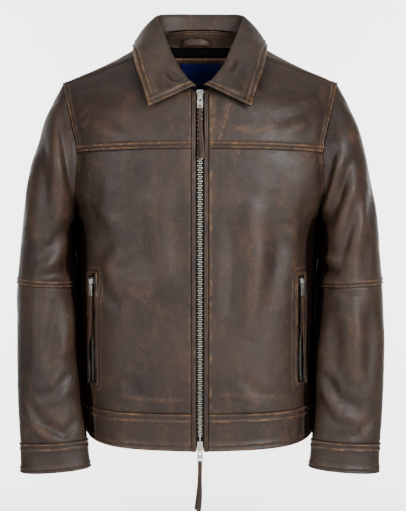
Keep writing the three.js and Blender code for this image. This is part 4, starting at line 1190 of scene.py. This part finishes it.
def pocket_grid(z, sideways, lift):
    """Places beside the pocket's middle line, raised above the front's surface."""
    z, sideways = np.meshgrid(z, sideways, indexing="ij")
    guess = (z - HEM_FRONT) / (UNDERARM - HEM_FRONT) * V_UNDERARM
    u, v = place_at(POCKET_X + sideways, z, np.full(z.shape, 0.7), guess)
    p = body_point(u, v)
    n = np.cross(body_point(u + 1e-3, v) - p, body_point(u, v + 0.5) - p)
    n /= np.linalg.norm(n, axis=-1, keepdims=True)
    return p + n * lift, n


for side in ("left", "right"):
    turn = np.array([-1, 1, 1] if side == "left" else [1, 1, 1])
    z = np.linspace(SLOT_BOTTOM - 6, SLOT_TOP + 6, 80)
    base, n = pocket_grid(z, np.linspace(-9, 9, 9), -3.1)
    obj = cloth("pocket_tape_" + side, place(base, side), 0.8, side=side, skins=[tape_weave])
    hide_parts("pocket_tape_" + side)

    half = SLOT_WIDTH / 2
    z = np.linspace(SLOT_BOTTOM - 4, SLOT_TOP + 4, 96)
    x = np.array([-half - 4, -half - 2.6, -half - 1, 1 - half, half - 1, half + 1, half + 2.6, half + 4])
    base, n = pocket_grid(z, x, 1.7)
    placed = place(base, side)
    crown = np.array([0, 0.9, 1.1, -0.4, -0.4, 1.1, 0.9, 0])[None, :] * (1 + 0.3 * lumps(placed, 8, 17))
    final = placed + n * turn * crown[..., None]
    keep = np.ones((95, 7), bool)
    keep[(z[:-1] > SLOT_BOTTOM) & (z[1:] < SLOT_TOP), 3] = False
    # Painted shade on the welt's lips, where they dip into the slot.
    rub = np.clip(0.05 + 0.55 * lumps(placed, 12, 18) - 0.6 * (crown < 0), -1, 1)
    obj = cloth("pocket_welt_" + side, final, 1.3, rub, keep=keep, side=side)
    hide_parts("pocket_welt_" + side)

    z = np.linspace(SLOT_BOTTOM + 2, SLOT_TOP - 13, 60)
    base, n = pocket_grid(z, np.array([0.6, 1.6]), -0.4)
    line = place(base, side)
    up = np.gradient(line[:, 0], axis=0)
    up /= np.linalg.norm(up, axis=1, keepdims=True)
    aside = line[:, 1] - line[:, 0]
    aside /= np.linalg.norm(aside, axis=1, keepdims=True)
    for row, sign in (("a", 1), ("b", -1)):
        obj = teeth(f"pocket_teeth_{side}_{row}", line[:, 0], n[:, 0] * turn, up, aside * sign, 7.0, 3.4,
                    "left" if sign < 0 else "right")
        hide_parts("pocket_teeth_" + side)

# ---- Inside the back neck -----------------------------------------------------------------------


def inner_back(x, z, depth):
    """Places inside the back, at a depth behind the leather's inner face."""
    u, v = place_at(np.abs(x), z, np.full(z.shape, 0.2), np.full(z.shape, V_NAPE + 40.0))
    p = body_point(u, v)
    n = np.cross(body_point(u + 1e-3, v) - p, body_point(u, v + 0.5) - p)
    n /= np.linalg.norm(n, axis=-1, keepdims=True)
    p = p - n * (LEATHER + depth)
    mirror = np.where(x < 0, -1, 1)[..., None] * [1, 0, 0] + [0, 1, 1]
    return p * mirror, -n * mirror


def unworn(places, share):
    return 0.0 * places[..., 0]


def neck_piece(name, half_width, top, bottom, depth, thickness, skin, step=2.5, rub=unworn,
               forward=0.0):
    """A flat piece sewn inside the back neck; its top leans forward at its ends by forward."""
    x = np.linspace(half_width, -half_width, int(2 * half_width / step) + 1)
    share = np.linspace(0, 1, max(int(40 / step), 6))[:, None]
    z = top(x)[None, :] + (bottom - top(x)[None, :]) * share
    base, n = inner_back(np.broadcast_to(x, z.shape), z, depth + thickness)
    worn = rub(base, share)
    lean = forward * (1 - share) ** 2 * (x / half_width) ** 2
    height = 0.35 * lumps(base, 15, 20) + 0.2 * lumps(base, 6, 21) + 0.8 * worn
    final = base + lean[..., None] * [0, -1, 0.45] + n * height[..., None]
    obj = cloth(name, final, thickness, worn, skins=[skin])
    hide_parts(name)
    return final, n


def flat_at(z):
    return lambda x: np.full(x.shape, float(z))


def loop_shade(p):
    """Where the hanging loop's upper edge stands off the facing and shades it."""
    reach = np.abs(p[..., 0] + 8.25) / 26
    edge = 14.5 - 6.5 * np.clip(reach, 0, 1) ** 3
    return bump(p[..., 2], edge, 2.0) * (reach < 1.1)


def facing_top(x):
    return 29.5 - 6 * (np.abs(x) / 70) ** 2


def facing_wear_and_shade(places, share):
    """The facing is rubbed along its sewn top and its lower edge, with painted shade in the seam between and
    a painted shadow under the hanging loop's upper edge.
    """
    rubbed = 0.5 * ramp(share, 0.85, 1) + 0.6 * bump(share, 0.12, 0.05) + 0.4 * bump(share, 0.0, 0.04)
    # Painted shade in the seam below the top, and the painted shadow of the hanging loop.
    waxed = 0.8 * bump(share, 0.06, 0.03) + 0.8 * loop_shade(places)
    return (rubbed - waxed) * (0.8 + 0.5 * lumps(places, 9, 25))


def piped_top(places, share):
    """The patch is turned over a cord along its top, which is rubbed pale."""
    return 0.9 * (1 - ramp(share, 0.0, 0.1)) + unworn(places, share)


neck_piece("neck_facing", 66, facing_top, 1, 2.6, 1.2, collar_leather, rub=facing_wear_and_shade,
           forward=7.0)
neck_piece("back_lining", 79, flat_at(0.5), -150, 2.6, 1.0, lining_satin, 4.0)
neck_piece("label_patch", 62, flat_at(-17), -84, 4.4, 1.0, leather, rub=piped_top)
neck_piece("label", 35, flat_at(-26), -71, 5.9, 0.9, label_weave)

t = np.linspace(-1, 1, 40)
bow = 1 - np.abs(t) ** 3
x = np.broadcast_to(-8.25 + 24.75 * t, (2, 40))
root, _ = inner_back(x, np.full((2, 40), 3.0), 6.6)
low = root[0] + np.stack([0 * t, -0.6 - 6 * bow, 2 * bow], axis=-1)
across = np.linspace(1, 0, 6)[:, None]
base = low[None] + across[..., None] * np.stack([0 * t, 0 * t, 11 * (0.55 + 0.45 * bow)], axis=-1)[None]
final = base + np.array([0, -1, 0]) * (0.5 * np.sin(math.pi * across))[..., None]
rub = np.clip(0.55 * np.abs(2 * across - 1) ** 4 + 0.4 * lumps(base, 8, 22), -0.3, 1)
obj = cloth("hanging_loop", final, 1.4, rub, skins=[collar_leather])
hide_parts("hanging_loop")

# ---- Stitches -----------------------------------------------------------------------------------

for side in ("left", "right"):
    sew("stitches_" + side, seam_rows[side])
sew("stitches_back", seam_rows["back"])
edge_rows = [path_on(panels["collar"], edge, 8.0) for edge in ("end", "inner", "outer")]
sew("stitches_collar", edge_rows)

# ---- Stage, camera and light --------------------------------------------------------------------

# A paper sweep: flat under the jacket, then curved up into the backdrop.
turn = np.linspace(0, math.pi / 2, 13)
sweep = [(-9000, -1450)] + [(3000 + 1800 * math.sin(a), -1450 + 1800 * (1 - math.cos(a))) for a in turn]
sweep += [(4800, 6000)]
sweep_places = np.array([[(x, y, z) for x in (-9000, 9000)] for y, z in sweep], float)
floor = mesh_object("studio_sweep", sweep_places.reshape(-1, 3), grid_faces(len(sweep), 2), studio_paper())

world = bpy.data.worlds.new("studio")
bpy.context.scene.world = world
world.use_nodes = True
world.node_tree.nodes["Background"].inputs[0].default_value = (1, 1, 1, 1)
world.node_tree.nodes["Background"].inputs[1].default_value = 0.26


def softbox(name, at, look_at, size, power):
    """A square soft light, its place and aim in metres."""
    lamp = bpy.data.lights.new(name, "AREA")
    lamp.size = size
    lamp.energy = power
    obj = bpy.data.objects.new(name, lamp)
    obj.location = at
    obj.rotation_euler = (Vector(look_at) - Vector(at)).to_track_quat("-Z", "Y").to_euler()
    bpy.context.scene.collection.objects.link(obj)
    return obj


softbox("key", (1.5, -2.5, 0.4), (0, 0, -0.45), 1.4, 95)
softbox("fill", (-1.5, -2.5, 0.2), (0, 0, -0.45), 1.2, 38)
softbox("top", (0.0, -0.3, 2.2), (0, 0, -0.2), 1.6, 16)
for x in (-2.2, 2.2):
    softbox("backdrop", (x, 2.6, 0.3), (x * 0.3, 4.8, -0.3), 1.5, 260)

camera = bpy.data.cameras.new("camera")
camera.lens = 102.5
view = bpy.data.objects.new("camera", camera)
view.location = (0.005, -2.53, -0.2174)
view.rotation_euler = (math.radians(90 - 3.36), 0, 0)
bpy.context.scene.collection.objects.link(view)
bpy.context.scene.camera = view
